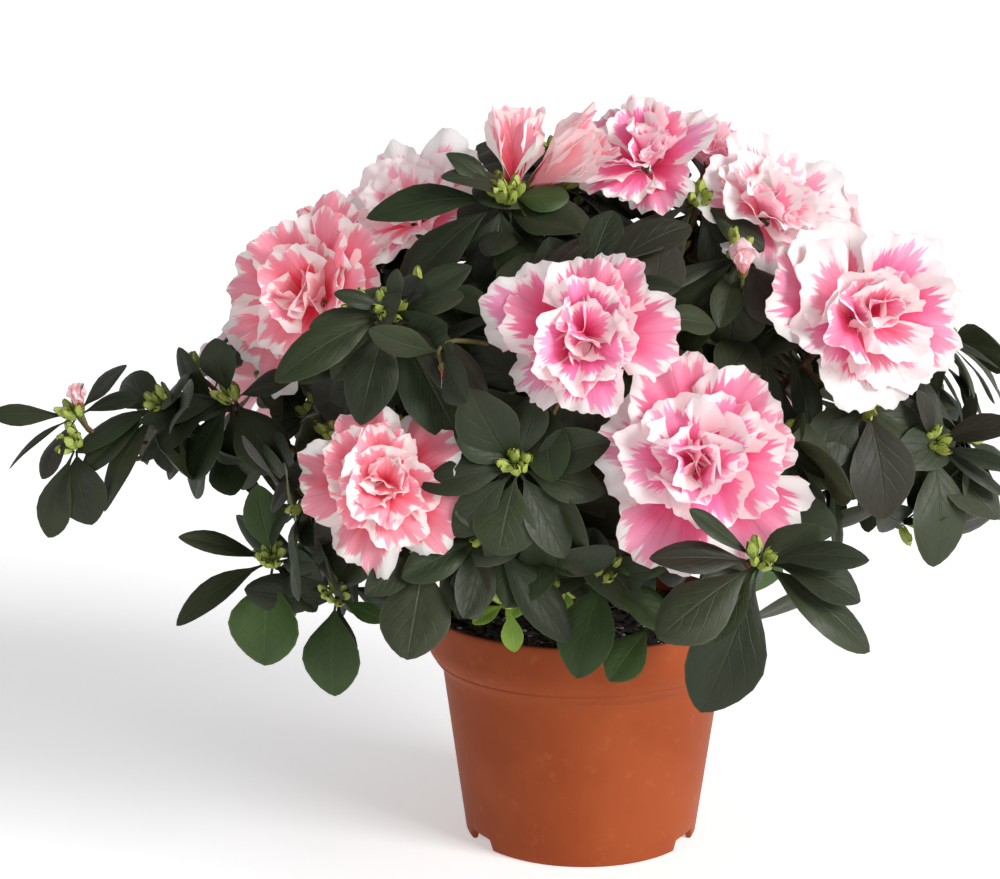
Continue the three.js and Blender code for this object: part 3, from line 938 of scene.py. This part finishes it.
class Crown:
    """Everything that grows: blooms, shoots and the limbs that carry them."""

    def __init__(self):
        self.leaves = {quarter: Heap() for quarter in QUARTERS}
        self.petals = {quarter: Heap() for quarter in QUARTERS}
        self.tips = Heap()
        self.scales = Heap()
        self.twigs = Heap()
        self.bark = Heap()
        self.blooms = []
        self.ends = []

    def quarter(self, place):
        """The quarter of the crown that a place is in."""
        return QUARTERS[2 * int(place[1] > 0) + int(place[0] > 0)]

    def misplaced(self, *places):
        """Whether a leaf there would fill room left empty, or lie over or inside a bloom."""
        for place in places:
            if any((place > low).all() and (place < high).all() for low, high in OPEN_SPACES):
                return True
            for centre, faces, radius in self.blooms:
                gap = place - centre
                ahead = np.dot(gap, faces)
                wide = np.linalg.norm(gap - ahead * faces)
                if ahead > -CLEAR_DEPTH * radius and wide < CLEAR_RADIUS * radius:
                    return True
        return False

    def add_blooms(self):
        """Blooms and buds, each in its calyx."""
        random = Picker(5)
        for mass, place, faces, radius, tones in BLOOMS:
            at = spot(mass, *place)
            foot, axis = bloom(self.petals[self.quarter(at)], random, at, faces, radius, tones)
            self.blooms.append((at, axis, radius))
            self.ends.append((foot, axis, mass))
            self.calyx(random, foot, axis, BLOOM_CALYX)
        for *bud, flamed in OPENING_BUDS:
            foot, axis, length = self.add_bud(random, bud, OPENING_RINGS, flamed, 2, OPENING_CALYX)
            self.blooms.append((foot + 0.6 * length * axis, axis, 0.28 * length))
        for *bud, flamed in SMALL_BUDS:
            self.add_bud(random, bud, CLOSED_RINGS, flamed, 1, SMALL_CALYX)

    def add_bud(self, random, bud, rings, flamed, seat, calyx_length):
        """A flower bud whose calyx starts that far behind it. Gives back its foot, axis, length."""
        mass, place, toward, length = bud
        foot = spot(mass, *place)
        axis = unit(toward)
        flower_bud(self.petals[self.quarter(foot)], random, foot, toward, length, rings, flamed)
        self.calyx(random, foot - seat * axis, axis, calyx_length)
        self.ends.append((foot, axis, mass))
        return foot, axis, length

    def calyx(self, random, foot, axis, length):
        """Pointed bud scales that clasp the foot of a bloom."""
        axes = basis(axis, UP + 0.3 * FRONT)
        ahead = axes[:, 2]
        for i in range(CALYX_SCALES):
            out = spoke(axes, TAU * i / CALYX_SCALES + random.uniform(-0.2, 0.2))
            long = length * random.uniform(0.8, 1.3)
            place = foot + 1.4 * out
            bud_scale(self.scales, random, place, ahead, out, 0.25, long, 0.42 * length, -0.5, 0.9)

    def add_shoot(self, random, place, axis, tones, leaves, mass, strict=True):
        """A whorl of leaves round a cluster of small green buds. A strict shoot leaves out the
        leaves that would be misplaced."""
        quarter = self.quarter(place)
        kept = 0
        for toward, length, ratio in leaves:
            foot = place + 2.0 * toward
            tip = place + length * toward
            if strict and self.misplaced(place + 0.55 * length * toward, tip):
                continue
            kept += 1
            purple = tones == DARK and random.uniform(0, 1) < PURPLE_SHARE
            shade = PURPLE if purple else tones
            width = ratio and ratio * length
            leaf(self.leaves[quarter], random, foot, toward, axis, length, shade, width)
        if kept > 1:
            self.bud_cluster(random, place, axis, *(SMALL_CLUSTER if strict else LARGE_CLUSTER))
        if kept:
            self.ends.append((place, axis, mass))

    def bud_cluster(self, random, place, axis, fewest, most):
        """A few pointed green buds, each wrapped in three scales."""
        axes = basis(axis, UP + 0.3 * FRONT)
        count = random.whole(fewest, most)
        for i in range(count):
            out = spoke(axes, TAU * i / count + random.uniform(-0.4, 0.4))
            ahead = unit(axis + random.uniform(0.1, 0.8) * out)
            length = random.uniform(6.5, 10.5)
            across = basis(ahead, out)
            for k in range(3):
                way = spoke(across, TAU * k / 3)
                foot = place + 1.9 * out + 0.5 * way
                bud_scale(self.tips, random, foot, ahead, way, 0.42, length, 3.6, -1.1, 1.0)

    def add_featured_shoots(self):
        """The shoots listed in SHOOTS."""
        random = Picker(21)
        for mass, place, axis, tones, hours in SHOOTS:
            at = spot(mass, *place)
            leaves = [
                (clock(hour, random.uniform(0.15, 0.55)), length, ratio)
                for hour, length, ratio in hours
            ]
            self.add_shoot(random, at, unit(axis), tones, leaves, mass, strict=False)

    def whorl(self, random, axis, count):
        """Leaves that spread round a shoot's tip: direction and length, with no width given."""
        axes = basis(axis, UP + 0.3 * FRONT)
        start = random.uniform(0, TAU)
        leaves = []
        for i in range(count):
            turn = start + TAU * i / count + random.uniform(-0.25, 0.25)
            lift = random.uniform(-0.25, 0.75)
            toward = unit(unit(spoke(axes, turn, lift)) - 0.18 * UP)
            leaves.append((toward, random.uniform(*LEAF_LENGTHS), None))
        return leaves

    def add_scattered_shoots(self):
        """Shoots all over the crown, each at a place drawn inside its mass."""
        random = Picker(42)
        for mass, (middle, half) in MASSES.items():
            outward = outward_of(middle)
            made = 0
            for _ in range(PLACES_TRIED):
                if made >= SPARSE.get(mass, SHOOTS_PER_MASS):
                    break
                toward = unit([random.gauss(), random.gauss(), random.gauss()])
                if np.dot(toward, outward) < -0.25:
                    continue
                toward[2] = min(toward[2], SHOOT_CEILING.get(mass, 1) / 0.6)
                place = middle + half * toward * random.uniform(0.3, 0.66)
                near = [np.linalg.norm(place - end) for end, _, _ in self.ends]
                if min(near) < SHOOT_SPACING or self.misplaced(place):
                    continue
                axis = unit(0.75 * toward + 0.7 * outward_of(place) + 0.25 * UP)
                tones = shade_of(random, place)
                leaves = self.whorl(random, axis, random.whole(*WHORL_LEAVES))
                self.add_shoot(random, place, axis, tones, leaves, mass)
                made += 1


# ------------------------------------------------------------------ limbs

# Radii in mm: the stem and the boughs lose their taper from foot to end, and the stem's foot
# flares. Branches and twigs go from the first radius to the second.
STEM_RADIUS = 6.2
STEM_TAPER = 2.0
STEM_FLARE = 2.6
BOUGH_RADIUS = 3.1
BOUGH_TAPER = 1.8
BRANCH_RADII = (1.7, 1.2)
TWIG_RADII = (1.15, 0.85)


def bark_paint():
    """Rough brown bark, greyer in patches."""
    paint = Paint("azalea_bark")
    place = paint.object_place()
    fine = paint.noise(place, 420.0, 5.0, 0.65)
    broad = paint.noise(place, 90.0, 3.0)
    colour = paint.mix(fine.between(0.35, 0.7), tone(70, 40, 26), tone(136, 84, 56))
    colour = paint.mix(broad.between(0.45, 0.7) * 0.5, colour, tone(96, 84, 66))
    paint.feed(
        Base_Color=colour,
        Roughness=fine * 0.25 + 0.6,
        Normal=paint.bump(fine + broad * 0.5, 0.6, 0.0008),
    )
    return paint.material


def twig_paint():
    """Young wood: red-brown, green in patches."""
    paint = Paint("azalea_twig")
    place = paint.object_place()
    fine = paint.noise(place, 500.0, 3.0)
    broad = paint.noise(place, 60.0, 2.0)
    colour = paint.mix(broad.between(0.35, 0.65), tone(108, 66, 44), tone(96, 96, 52))
    colour = paint.mix(fine.between(0.4, 0.7) * 0.4, colour, tone(70, 46, 32))
    paint.feed(Base_Color=colour, Roughness=fine * 0.2 + 0.55, Normal=paint.bump(fine, 0.4, 0.0004))
    return paint.material


def bark_relief(random):
    """Long shallow ridges that wander round a limb."""
    phases = [random.uniform(0, TAU) for _ in range(4)]

    def relief(turn, run):
        ridges = 0.06 * np.sin(3 * turn + phases[0] + 0.05 * run)
        ridges += 0.045 * np.sin(5 * turn + phases[1] - 0.11 * run)
        ridges += 0.035 * np.sin(7 * turn + phases[2] + 0.4 * np.sin(0.21 * run))
        return 1 + ridges + 0.03 * math.sin(0.5 * run + phases[3])

    return relief


def add_stem(crown, random):
    """The stem, from below the soil's top. Gives back its upper end."""
    foot = np.array([STEM_MIDDLE[0], STEM_MIDDLE[1], SOIL_TOP - 3])
    top = np.array([STEM_MIDDLE[0] + 3.5, STEM_MIDDLE[1] - 3.5, STEM_MIDDLE[2] + STEM_HALF[2]])
    path = bezier([foot, foot + 11 * UP, top - 8 * UP, top], 28)
    rise = np.linspace(0, 1, len(path))
    radii = STEM_RADIUS - STEM_TAPER * rise + STEM_FLARE * np.exp(-rise * 31 / 7)
    radii[-1] *= 0.7
    tube(crown.bark, path, radii, 28, bark_relief(random))
    return top


def add_boughs(crown, random, top):
    """Each bough, inside its CAD solid and on into the mass it leads to. Gives back places along
    the boughs that branches and twigs may start from."""
    hubs = []
    for name in sorted(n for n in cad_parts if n.startswith("bough_")):
        middle, half = box_of(name)
        goal = MASSES[name.removeprefix("bough_to_")][0]
        away = np.sign(goal - top)
        start = np.array([top[0], top[1], min(middle[2] - half[2] + 2.5, top[2] - 2)])
        end = middle + (half - 1.5) * away
        run = end - start
        sag = np.array([0, 0, 0.10 * run[2]])
        inside = bezier([start, start + 0.5 * run - sag, end], 26)
        beyond = bezier([end, end + 0.12 * run, goal + 0.25 * (end - goal)], 6)
        route = np.concatenate([inside, beyond[1:]])
        share = np.linspace(0, 1, len(route))
        tube(crown.bark, route, BOUGH_RADIUS - BOUGH_TAPER * share, 16, bark_relief(random))
        hubs += [route[len(route) * k // 6] for k in (3, 4, 5)] + [route[-1]]
    return hubs


def add_branches(crown, random, hubs):
    """A branch into every mass, nearest first, each from the nearest limb so far. Most carry a
    whorl or two inside the crown."""
    waiting = list(MASSES)
    while waiting:
        pulled = {m: MASSES[m][0] + 0.3 * (CROWN_HEART - MASSES[m][0]) for m in waiting}
        mass, hub = min(
            ((m, h) for m in waiting for h in hubs),
            key=lambda pair: np.linalg.norm(pulled[pair[0]] - pair[1]),
        )
        waiting.remove(mass)
        goal = pulled[mass]
        middle = (hub + goal) / 2 - np.array([0, 0, 4.0])
        route = bezier([hub, middle, goal], 8)
        tube(crown.twigs, route, np.linspace(*BRANCH_RADII, len(route)), 7)
        hubs.append(goal)
        axis = unit(outward_of(goal) + 0.4 * UP)
        shares = [] if mass == BARE_ARM else [0.1] if mass in SPARSE else [0.1, 0.75]
        for share in shares:
            place = goal + share * (MASSES[mass][0] - goal)
            leaves = crown.whorl(random, axis, 6)
            crown.add_shoot(random, place, axis, DARK, leaves, mass)


def add_limbs(crown):
    """Stem, boughs and branches, then a twig out to every shoot and bloom."""
    random = Picker(8)
    top = add_stem(crown, random)
    hubs = add_boughs(crown, random, top)
    add_branches(crown, random, hubs)
    hubs = np.array(hubs)
    for place, axis, mass in crown.ends:
        gaps = np.linalg.norm(hubs - place, axis=1)
        hub = hubs[gaps.argmin()]
        bow = place - 0.42 * gaps.min() * axis
        route = bezier([hub, hub + 0.35 * (place - hub), bow, place], 9)
        tube(crown.twigs, route, np.linspace(*TWIG_RADII, len(route)), 6)
        if mass != BARE_ARM:
            side_leaves(crown, random, route)


def side_leaves(crown, random, route):
    """A few leaves stand singly on a twig below its whorl."""
    turn = random.uniform(0, TAU)
    for k in (5, 7, 8):
        place = route[k]
        ahead = unit(route[k] - route[k - 1])
        axes = basis(ahead, UP + 0.3 * FRONT)
        turn += 2.4
        toward = unit(spoke(axes, turn) + 0.5 * ahead - 0.15 * UP)
        length = random.uniform(*SIDE_LEAF_LENGTHS)
        if crown.misplaced(place + 0.6 * length * toward, place + length * toward):
            continue
        tones = shade_of(random, place)
        heap = crown.leaves[crown.quarter(place)]
        leaf(heap, random, place, toward, ahead + 0.4 * UP, length, tones)


# ------------------------------------------------------------------ pot

POT_TURNS = 180
FOOT_SHARE = 47.8 / 65  # radius at the foot, as a share of the rim's
KNEE_SHARE = 57.5 / 65  # radius where the lip starts
KNEE_RISE = 0.736  # how high that is, as a share of the pot's height
NOTCHES = 3  # drain notches in the foot
NOTCH_HALF_ANGLE = math.radians(10)
NOTCH_RISE = 4.6
POT_WALL = 1.7
DISC = 30.0  # radius of the flat middle of the underside
CHANNEL = 4.5  # how high the groove between the disc and the foot is
POT_FLOOR = 1.8  # thickness


def pot_profile():
    """The underside, the outside up over the lip, and the inside down to the floor, each as
    radius and height."""
    rim = POT_HALF[0]
    foot = FOOT_SHARE * rim
    knee = KNEE_SHARE * rim
    knee_height = KNEE_RISE * POT_HEIGHT
    outside = [(foot - 0.9, 0), (foot - 0.2, 0.25), (foot + 0.15, 1.0)]
    for k in range(1, 19):
        share = k / 18
        radius = foot + 0.15 + (knee - foot - 0.15) * share
        outside.append((radius, 1 + (knee_height - 1) * share))
    outside.append((knee + 0.15, knee_height + 0.25))
    for k in range(1, 6):
        share = k / 5
        outside.append((knee + 0.2 + 3.3 * share, knee_height + 0.3 + 4.0 * share**1.1))
    ridge = outside[-1]
    outside += [(ridge[0] - 0.25, ridge[1] + 0.35), (ridge[0] + 0.12, ridge[1] + 0.7)]
    for k in range(1, 11):
        bulge = 3.1 * math.sin(math.pi / 2 * k / 10) ** 0.75
        outside.append((ridge[0] + 0.2 + bulge, ridge[1] + 0.8 + 0.8 * k))
    outside += [(rim - 0.4, POT_HEIGHT - 6), (rim, POT_HEIGHT - 2.2), (rim - 0.1, POT_HEIGHT - 0.7)]
    for k in range(1, 6):
        angle = math.pi * k / 6
        height = POT_HEIGHT - 0.7 + 0.7 * math.sin(angle)
        outside.append((rim - 0.95 + 0.8 * math.cos(angle), height))
    wall = foot - POT_WALL
    inside = [
        (rim - 1.9, POT_HEIGHT - 0.8),
        (rim - 2.5, POT_HEIGHT - 4),
        (rim - 2.7, POT_HEIGHT - 11),
        (knee - POT_WALL + 1.5, knee_height + 4),
        (knee - POT_WALL, knee_height),
        (wall + 0.9, CHANNEL + 2.5),
        (wall - 0.4, CHANNEL + POT_FLOOR),
        (DISC + 2.2, CHANNEL + POT_FLOOR),
        (DISC + 0.7, POT_FLOOR),
        (0.01, POT_FLOOR),
    ]
    underside = [
        (0.01, 0),
        (DISC - 0.6, 0),
        (DISC, 0.3),
        (DISC + 1.6, CHANNEL),
        (wall - 0.9, CHANNEL),
        (wall - 0.4, 0.3),
        (wall - 0.1, 0),
    ]
    return underside, outside, inside


def notch_lift(turns):
    """How far the drain notches raise the foot at each turn round the pot."""
    notches = np.array([math.pi / 2 + TAU * k / NOTCHES for k in range(NOTCHES)])
    away = np.abs((turns[:, None] - notches[None, :] + math.pi) % TAU - math.pi).min(axis=1)
    return NOTCH_RISE * np.clip(1 - (away / NOTCH_HALF_ANGLE) ** 6, 0, 1) ** (1 / 4)


def pot_piece():
    """The profile turned round the pot's axis, with the foot raised in the notches."""
    underside, outside, inside = pot_profile()
    profile = np.array(underside + outside + inside)
    turns = np.linspace(0, TAU, POT_TURNS, endpoint=False)
    lift = notch_lift(turns)
    rings = []
    foot_rows = range(len(underside) - 2, len(underside) + 3)
    for row, (radius, height) in enumerate(profile):
        z = np.full(POT_TURNS, height)
        if row in foot_rows:
            z = np.maximum(z, lift + (height if height < 1 else 0))
        rings.append(np.stack([radius * np.cos(turns), radius * np.sin(turns), z], axis=-1))
    first_wall = len(underside) + 3
    rings[first_wall][:, 2] = np.maximum(rings[first_wall][:, 2], lift + 1.2)
    run = np.concatenate([[0], np.cumsum(np.linalg.norm(np.diff(profile, axis=0), axis=1))])
    heap = Heap()
    heap.add(
        np.concatenate(rings),
        ring_quads(len(rings), POT_TURNS)[:, ::-1],
        ring_chart(run / run[-1], POT_TURNS)[:, ::-1],
    )
    heap.piece("nursery_pot", pot_paint(), "pot_plastic", ["pot"])


def pot_paint():
    """Matt terracotta-coloured plastic, faintly clouded and scuffed."""
    paint = Paint("terracotta_plastic", Specular_IOR_Level=0.13)
    place = paint.object_place()
    grain = paint.noise(place, 1500.0, 3.0, 0.6)
    cloud = paint.noise(place, 26.0, 3.0)
    scuff = paint.noise(place, 160.0, 4.0, 0.7)
    colour = paint.mix(cloud.between(0.35, 0.65), tone(139, 62, 27), tone(147, 69, 33))
    colour = paint.mix(scuff.between(0.56, 0.74) * 0.16, colour, tone(196, 116, 74))
    paint.feed(
        Base_Color=colour,
        Roughness=grain * 0.12 + 0.46,
        Normal=paint.bump(grain * 0.6 + cloud, 0.12, 0.0004),
    )
    return paint.material


# ------------------------------------------------------------------ soil


def soil_paint():
    """Damp dark peat."""
    paint = Paint("peat")
    place = paint.object_place()
    crumbs = paint.noise(place, 330.0, 6.0, 0.7)
    lumps = paint.noise(place, 90.0, 3.0)
    colour = paint.mix(crumbs.between(0.35, 0.75), tone(14, 9, 7), tone(58, 42, 32))
    colour = paint.mix(lumps.between(0.5, 0.7) * 0.4, colour, tone(34, 22, 16))
    paint.feed(
        Base_Color=colour,
        Roughness=crumbs * 0.2 + 0.75,
        Normal=paint.bump(crumbs + lumps, 1.0, 0.002),
    )
    return paint.material


def soil_height(x, y):
    """How high the crumbly top stands at a place."""
    waves = np.sin(0.31 * x + 1.3) * np.cos(0.27 * y) + 0.7 * np.sin(0.83 * x - 0.62 * y)
    waves = waves + 0.5 * np.sin(1.7 * x + 0.9) * np.cos(1.9 * y - 0.4)
    return SOIL_TOP - 0.6 + 0.55 * waves


SOIL_EDGE = SOIL_HALF[0] - 0.3
SOIL_TURNS = 120
SOIL_ROWS = 44
CRUMBS = 900
FIBRES = 90


def soil_piece():
    """The soil's crumbly top and, out of sight, its plain sides and bottom."""
    angle = np.linspace(0, TAU, SOIL_TURNS, endpoint=False)
    rings = []
    for k in range(SOIL_ROWS + 1):
        radius = max(0.01, SOIL_EDGE * k / SOIL_ROWS)
        x, y = radius * np.cos(angle), radius * np.sin(angle)
        rings.append(np.stack([x, y, soil_height(x, y)], axis=-1))
    low = SOIL_MIDDLE[2] + 0.8 * SOIL_HALF[2]
    for radius, z in ((SOIL_EDGE - 0.4, SOIL_TOP - 4), (0.93 * SOIL_EDGE, low), (0.01, low)):
        x, y = radius * np.cos(angle), radius * np.sin(angle)
        rings.append(np.stack([x, y, np.full(SOIL_TURNS, z)], axis=-1))
    points = np.stack(rings)
    flat = points[..., :2] / (2 * SOIL_EDGE) + 0.5
    heap = Heap()
    heap.add(
        points.reshape(-1, 3),
        ring_quads(len(rings), SOIL_TURNS),
        corners_of(np.concatenate([flat, flat[:, :1]], axis=1)),
    )
    heap.piece("potting_soil", soil_paint(), "potting_soil", ["soil"])


def place_on_soil(random, edge):
    """A place drawn evenly over the soil, inside that radius."""
    radius = edge * math.sqrt(random.uniform(0, 1))
    turn = random.uniform(0, TAU)
    x, y = radius * math.cos(turn), radius * math.sin(turn)
    return np.array([x, y, soil_height(x, y)])


def soil_litter():
    """Peat crumbs, pale flecks and fibres strewn over the soil."""
    random = Picker(77)
    crumbs, flecks, fibres = Heap(), Heap(), Heap()
    for _ in range(CRUMBS):
        place = place_on_soil(random, SOIL_EDGE - 2)
        pale = random.uniform(0, 1) < 0.2
        size = random.uniform(0.35, 0.9) if pale else random.uniform(0.6, 1.9)
        chip(flecks if pale else crumbs, random, place, size)
    for _ in range(FIBRES):
        start = place_on_soil(random, SOIL_EDGE - 6) + 0.3 * UP
        way = random.uniform(0, TAU)
        reach = random.uniform(3, 9)
        end = start + reach * np.array([math.cos(way), math.sin(way), random.uniform(-0.1, 0.25)])
        bow = np.array([random.uniform(-2, 2), random.uniform(-2, 2), random.uniform(0.3, 2)])
        route = bezier([start, (start + end) / 2 + bow, end], 5)
        tube(fibres, route, np.full(6, random.uniform(0.12, 0.26)), 5)
    crumbs.piece("peat_crumbs", soil_paint(), "potting_soil")
    flecks.piece("pale_flecks", fleck_paint(), "potting_soil")
    fibres.piece("peat_fibres", fibre_paint(), "potting_soil")


def chip(heap, random, place, size):
    """A small uneven lump: a box whose corners are pushed about."""
    corner = np.array([[x, y, z] for x in (-1, 1) for y in (-1, 1) for z in (-1, 1)], float)
    corner *= 1 + 0.35 * np.array([[random.uniform(-1, 1) for _ in range(3)] for _ in range(8)])
    way = random.uniform(0, TAU)
    cosine, sine = math.cos(way), math.sin(way)
    turned = np.array([[cosine, -sine, 0], [sine, cosine, 0], [0, 0, 1]])
    points = place + size * (corner * [1.0, 0.7, 0.55]) @ turned.T
    ends = [[0, 1, 3, 2], [4, 6, 7, 5]]
    sides = [[0, 4, 5, 1], [2, 3, 7, 6], [0, 2, 6, 4], [1, 5, 7, 3]]
    quads = np.array(ends + sides)
    face = np.array([[0, 0], [1, 0], [1, 1], [0, 1]], float)
    heap.add(points, quads, np.stack([face] * 6))


def litter_paint(name, scale, dark, light):
    """Two tones in small grains."""
    paint = Paint(name)
    grain = paint.noise(paint.object_place(), scale, 3.0)
    colour = paint.mix(grain.between(0.3, 0.7), dark, light)
    paint.feed(Base_Color=colour, Roughness=grain * 0.2 + 0.6)
    return paint.material


def fleck_paint():
    return litter_paint("perlite_fleck", 900.0, tone(150, 146, 138), tone(216, 214, 208))


def fibre_paint():
    return litter_paint("root_fibre", 300.0, tone(74, 54, 40), tone(140, 116, 92))


# ------------------------------------------------------------------ small green parts


def shoot_paint():
    """Young bud scales: yellow-green, browner towards their tips."""
    paint = Paint("young_shoot")
    column, row, a, b = paint.chart()
    grain = paint.noise(paint.vector(a * 5.0 + column, b * 9.0, row), 1.4, 3.0)
    colour = paint.mix(grain.between(0.3, 0.7), tone(140, 162, 62), tone(184, 196, 104))
    colour = paint.mix(b.between(0.62, 1.0) * 0.5, colour, tone(150, 128, 60))
    paint.feed(Base_Color=colour, Roughness=grain * 0.2 + 0.4, Normal=paint.bump(grain, 0.2, 0.0004))
    return paint.material


def scale_paint():
    """Bud scales under a bloom: green at the foot and rust-brown above."""
    paint = Paint("bud_scale")
    column, row, a, b = paint.chart()
    grain = paint.noise(paint.vector(a * 5.0 + column, b * 9.0, row), 1.4, 3.0)
    colour = paint.mix(b.between(0.1, 0.7), tone(126, 140, 58), tone(134, 92, 52))
    colour = paint.mix(grain.between(0.4, 0.8) * 0.5, colour, tone(92, 66, 36))
    paint.feed(Base_Color=colour, Roughness=grain * 0.2 + 0.45, Normal=paint.bump(grain, 0.2, 0.0004))
    return paint.material


# ------------------------------------------------------------------ assembly

crown = Crown()
crown.add_blooms()
crown.add_featured_shoots()
crown.add_scattered_shoots()
add_limbs(crown)

# One mesh stands for the stem and all boughs. The masses of a quarter give way to its leaves.
bark_nodes = sorted(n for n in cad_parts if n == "stem" or n.startswith("bough_"))
crown.bark.piece("stem_and_boughs", bark_paint(), "bark", bark_nodes)
crown.twigs.piece("twigs", twig_paint(), "bark")

foliage_nodes = {quarter: [] for quarter in QUARTERS}
for mass, (middle, _) in MASSES.items():
    foliage_nodes[crown.quarter(middle)].append(f"foliage_{mass}")
leaf_finish = leaf_paint()
petal_finish = petal_paint()
for quarter in QUARTERS:
    crown.leaves[quarter].piece(f"leaves_{quarter}", leaf_finish, "leaf", foliage_nodes[quarter])
    crown.petals[quarter].piece(f"blooms_{quarter}", petal_finish, "petal")
crown.tips.piece("young_shoots", shoot_paint(), "young_leaf")
crown.scales.piece("bud_scales", scale_paint(), "young_leaf")
pot_piece()
soil_piece()
soil_litter()

# ------------------------------------------------------------------ floor, light and camera


FLOOR_REACH = 30.0  # metres
CAMERA_PLACE = (-0.0338, -0.900, 0.3535)
CAMERA_DIP = 11.85  # degrees below level
LENS = 81.8  # mm
SENSOR = 36  # width in mm
KEY_SIDE = (0.96, -0.74, 0.56)
KEY_STRENGTH = 3.3
KEY_WIDTH = 30  # degrees


def floor_paint():
    """A pale floor with a glow of its own, so that shadows on it stay light."""
    paint = Paint("pale_floor", Roughness=0.8, Emission_Color=(1, 1, 1, 1), Emission_Strength=0.42)
    grain = paint.noise(paint.object_place(), 3.0, 2.0)
    paint.feed(Base_Color=paint.mix(grain, (0.93, 0.93, 0.93, 1.0), (0.95, 0.95, 0.95, 1.0)))
    return paint.material


def studio_floor():
    """A pale floor out to the horizon."""
    mesh = bpy.data.meshes.new("studio_floor")
    signs = [(-1, -1), (1, -1), (1, 1), (-1, 1)]
    corners = [(x * FLOOR_REACH, y * FLOOR_REACH, 0) for x, y in signs]
    mesh.from_pydata(corners, [], [(0, 1, 2, 3)])
    floor = bpy.data.objects.new("studio_floor", mesh)
    bpy.context.scene.collection.objects.link(floor)
    floor.data.materials.append(floor_paint())


def studio_world():
    """A pale sky, brightest at the horizon."""
    world = bpy.data.worlds.new("studio")
    world.use_nodes = True
    nodes = Nodes(world.node_tree)
    _, _, height = nodes.split(nodes.place_by("Generated"))
    share = height.between(0.0, 0.5)
    colour = nodes.mix(share, (0.98, 0.98, 0.98, 1.0), (0.24, 0.24, 0.25, 1.0))
    background = world.node_tree.nodes["Background"]
    world.node_tree.links.new(colour.socket, background.inputs["Color"])
    bpy.context.scene.world = world


def key_light():
    """A soft, far lamp from the front right."""
    light = bpy.data.lights.new("key", "SUN")
    light.energy = KEY_STRENGTH
    light.angle = math.radians(KEY_WIDTH)
    lamp = bpy.data.objects.new("key", light)
    lamp.rotation_euler = mathutils.Vector(KEY_SIDE).to_track_quat("Z", "Y").to_euler()
    bpy.context.scene.collection.objects.link(lamp)


def camera():
    """A long lens in front of the plant that looks down a little."""
    lens = bpy.data.cameras.new("camera")
    lens.sensor_width = SENSOR
    lens.lens = LENS
    lens.clip_end = 50
    eye = bpy.data.objects.new("camera", lens)
    eye.location = CAMERA_PLACE
    eye.rotation_euler = (math.radians(90 - CAMERA_DIP), 0, 0)
    bpy.context.scene.collection.objects.link(eye)
    bpy.context.scene.camera = eye


studio_floor()
studio_world()
key_light()
camera()
bpy.context.scene.view_settings.view_transform = "Standard"
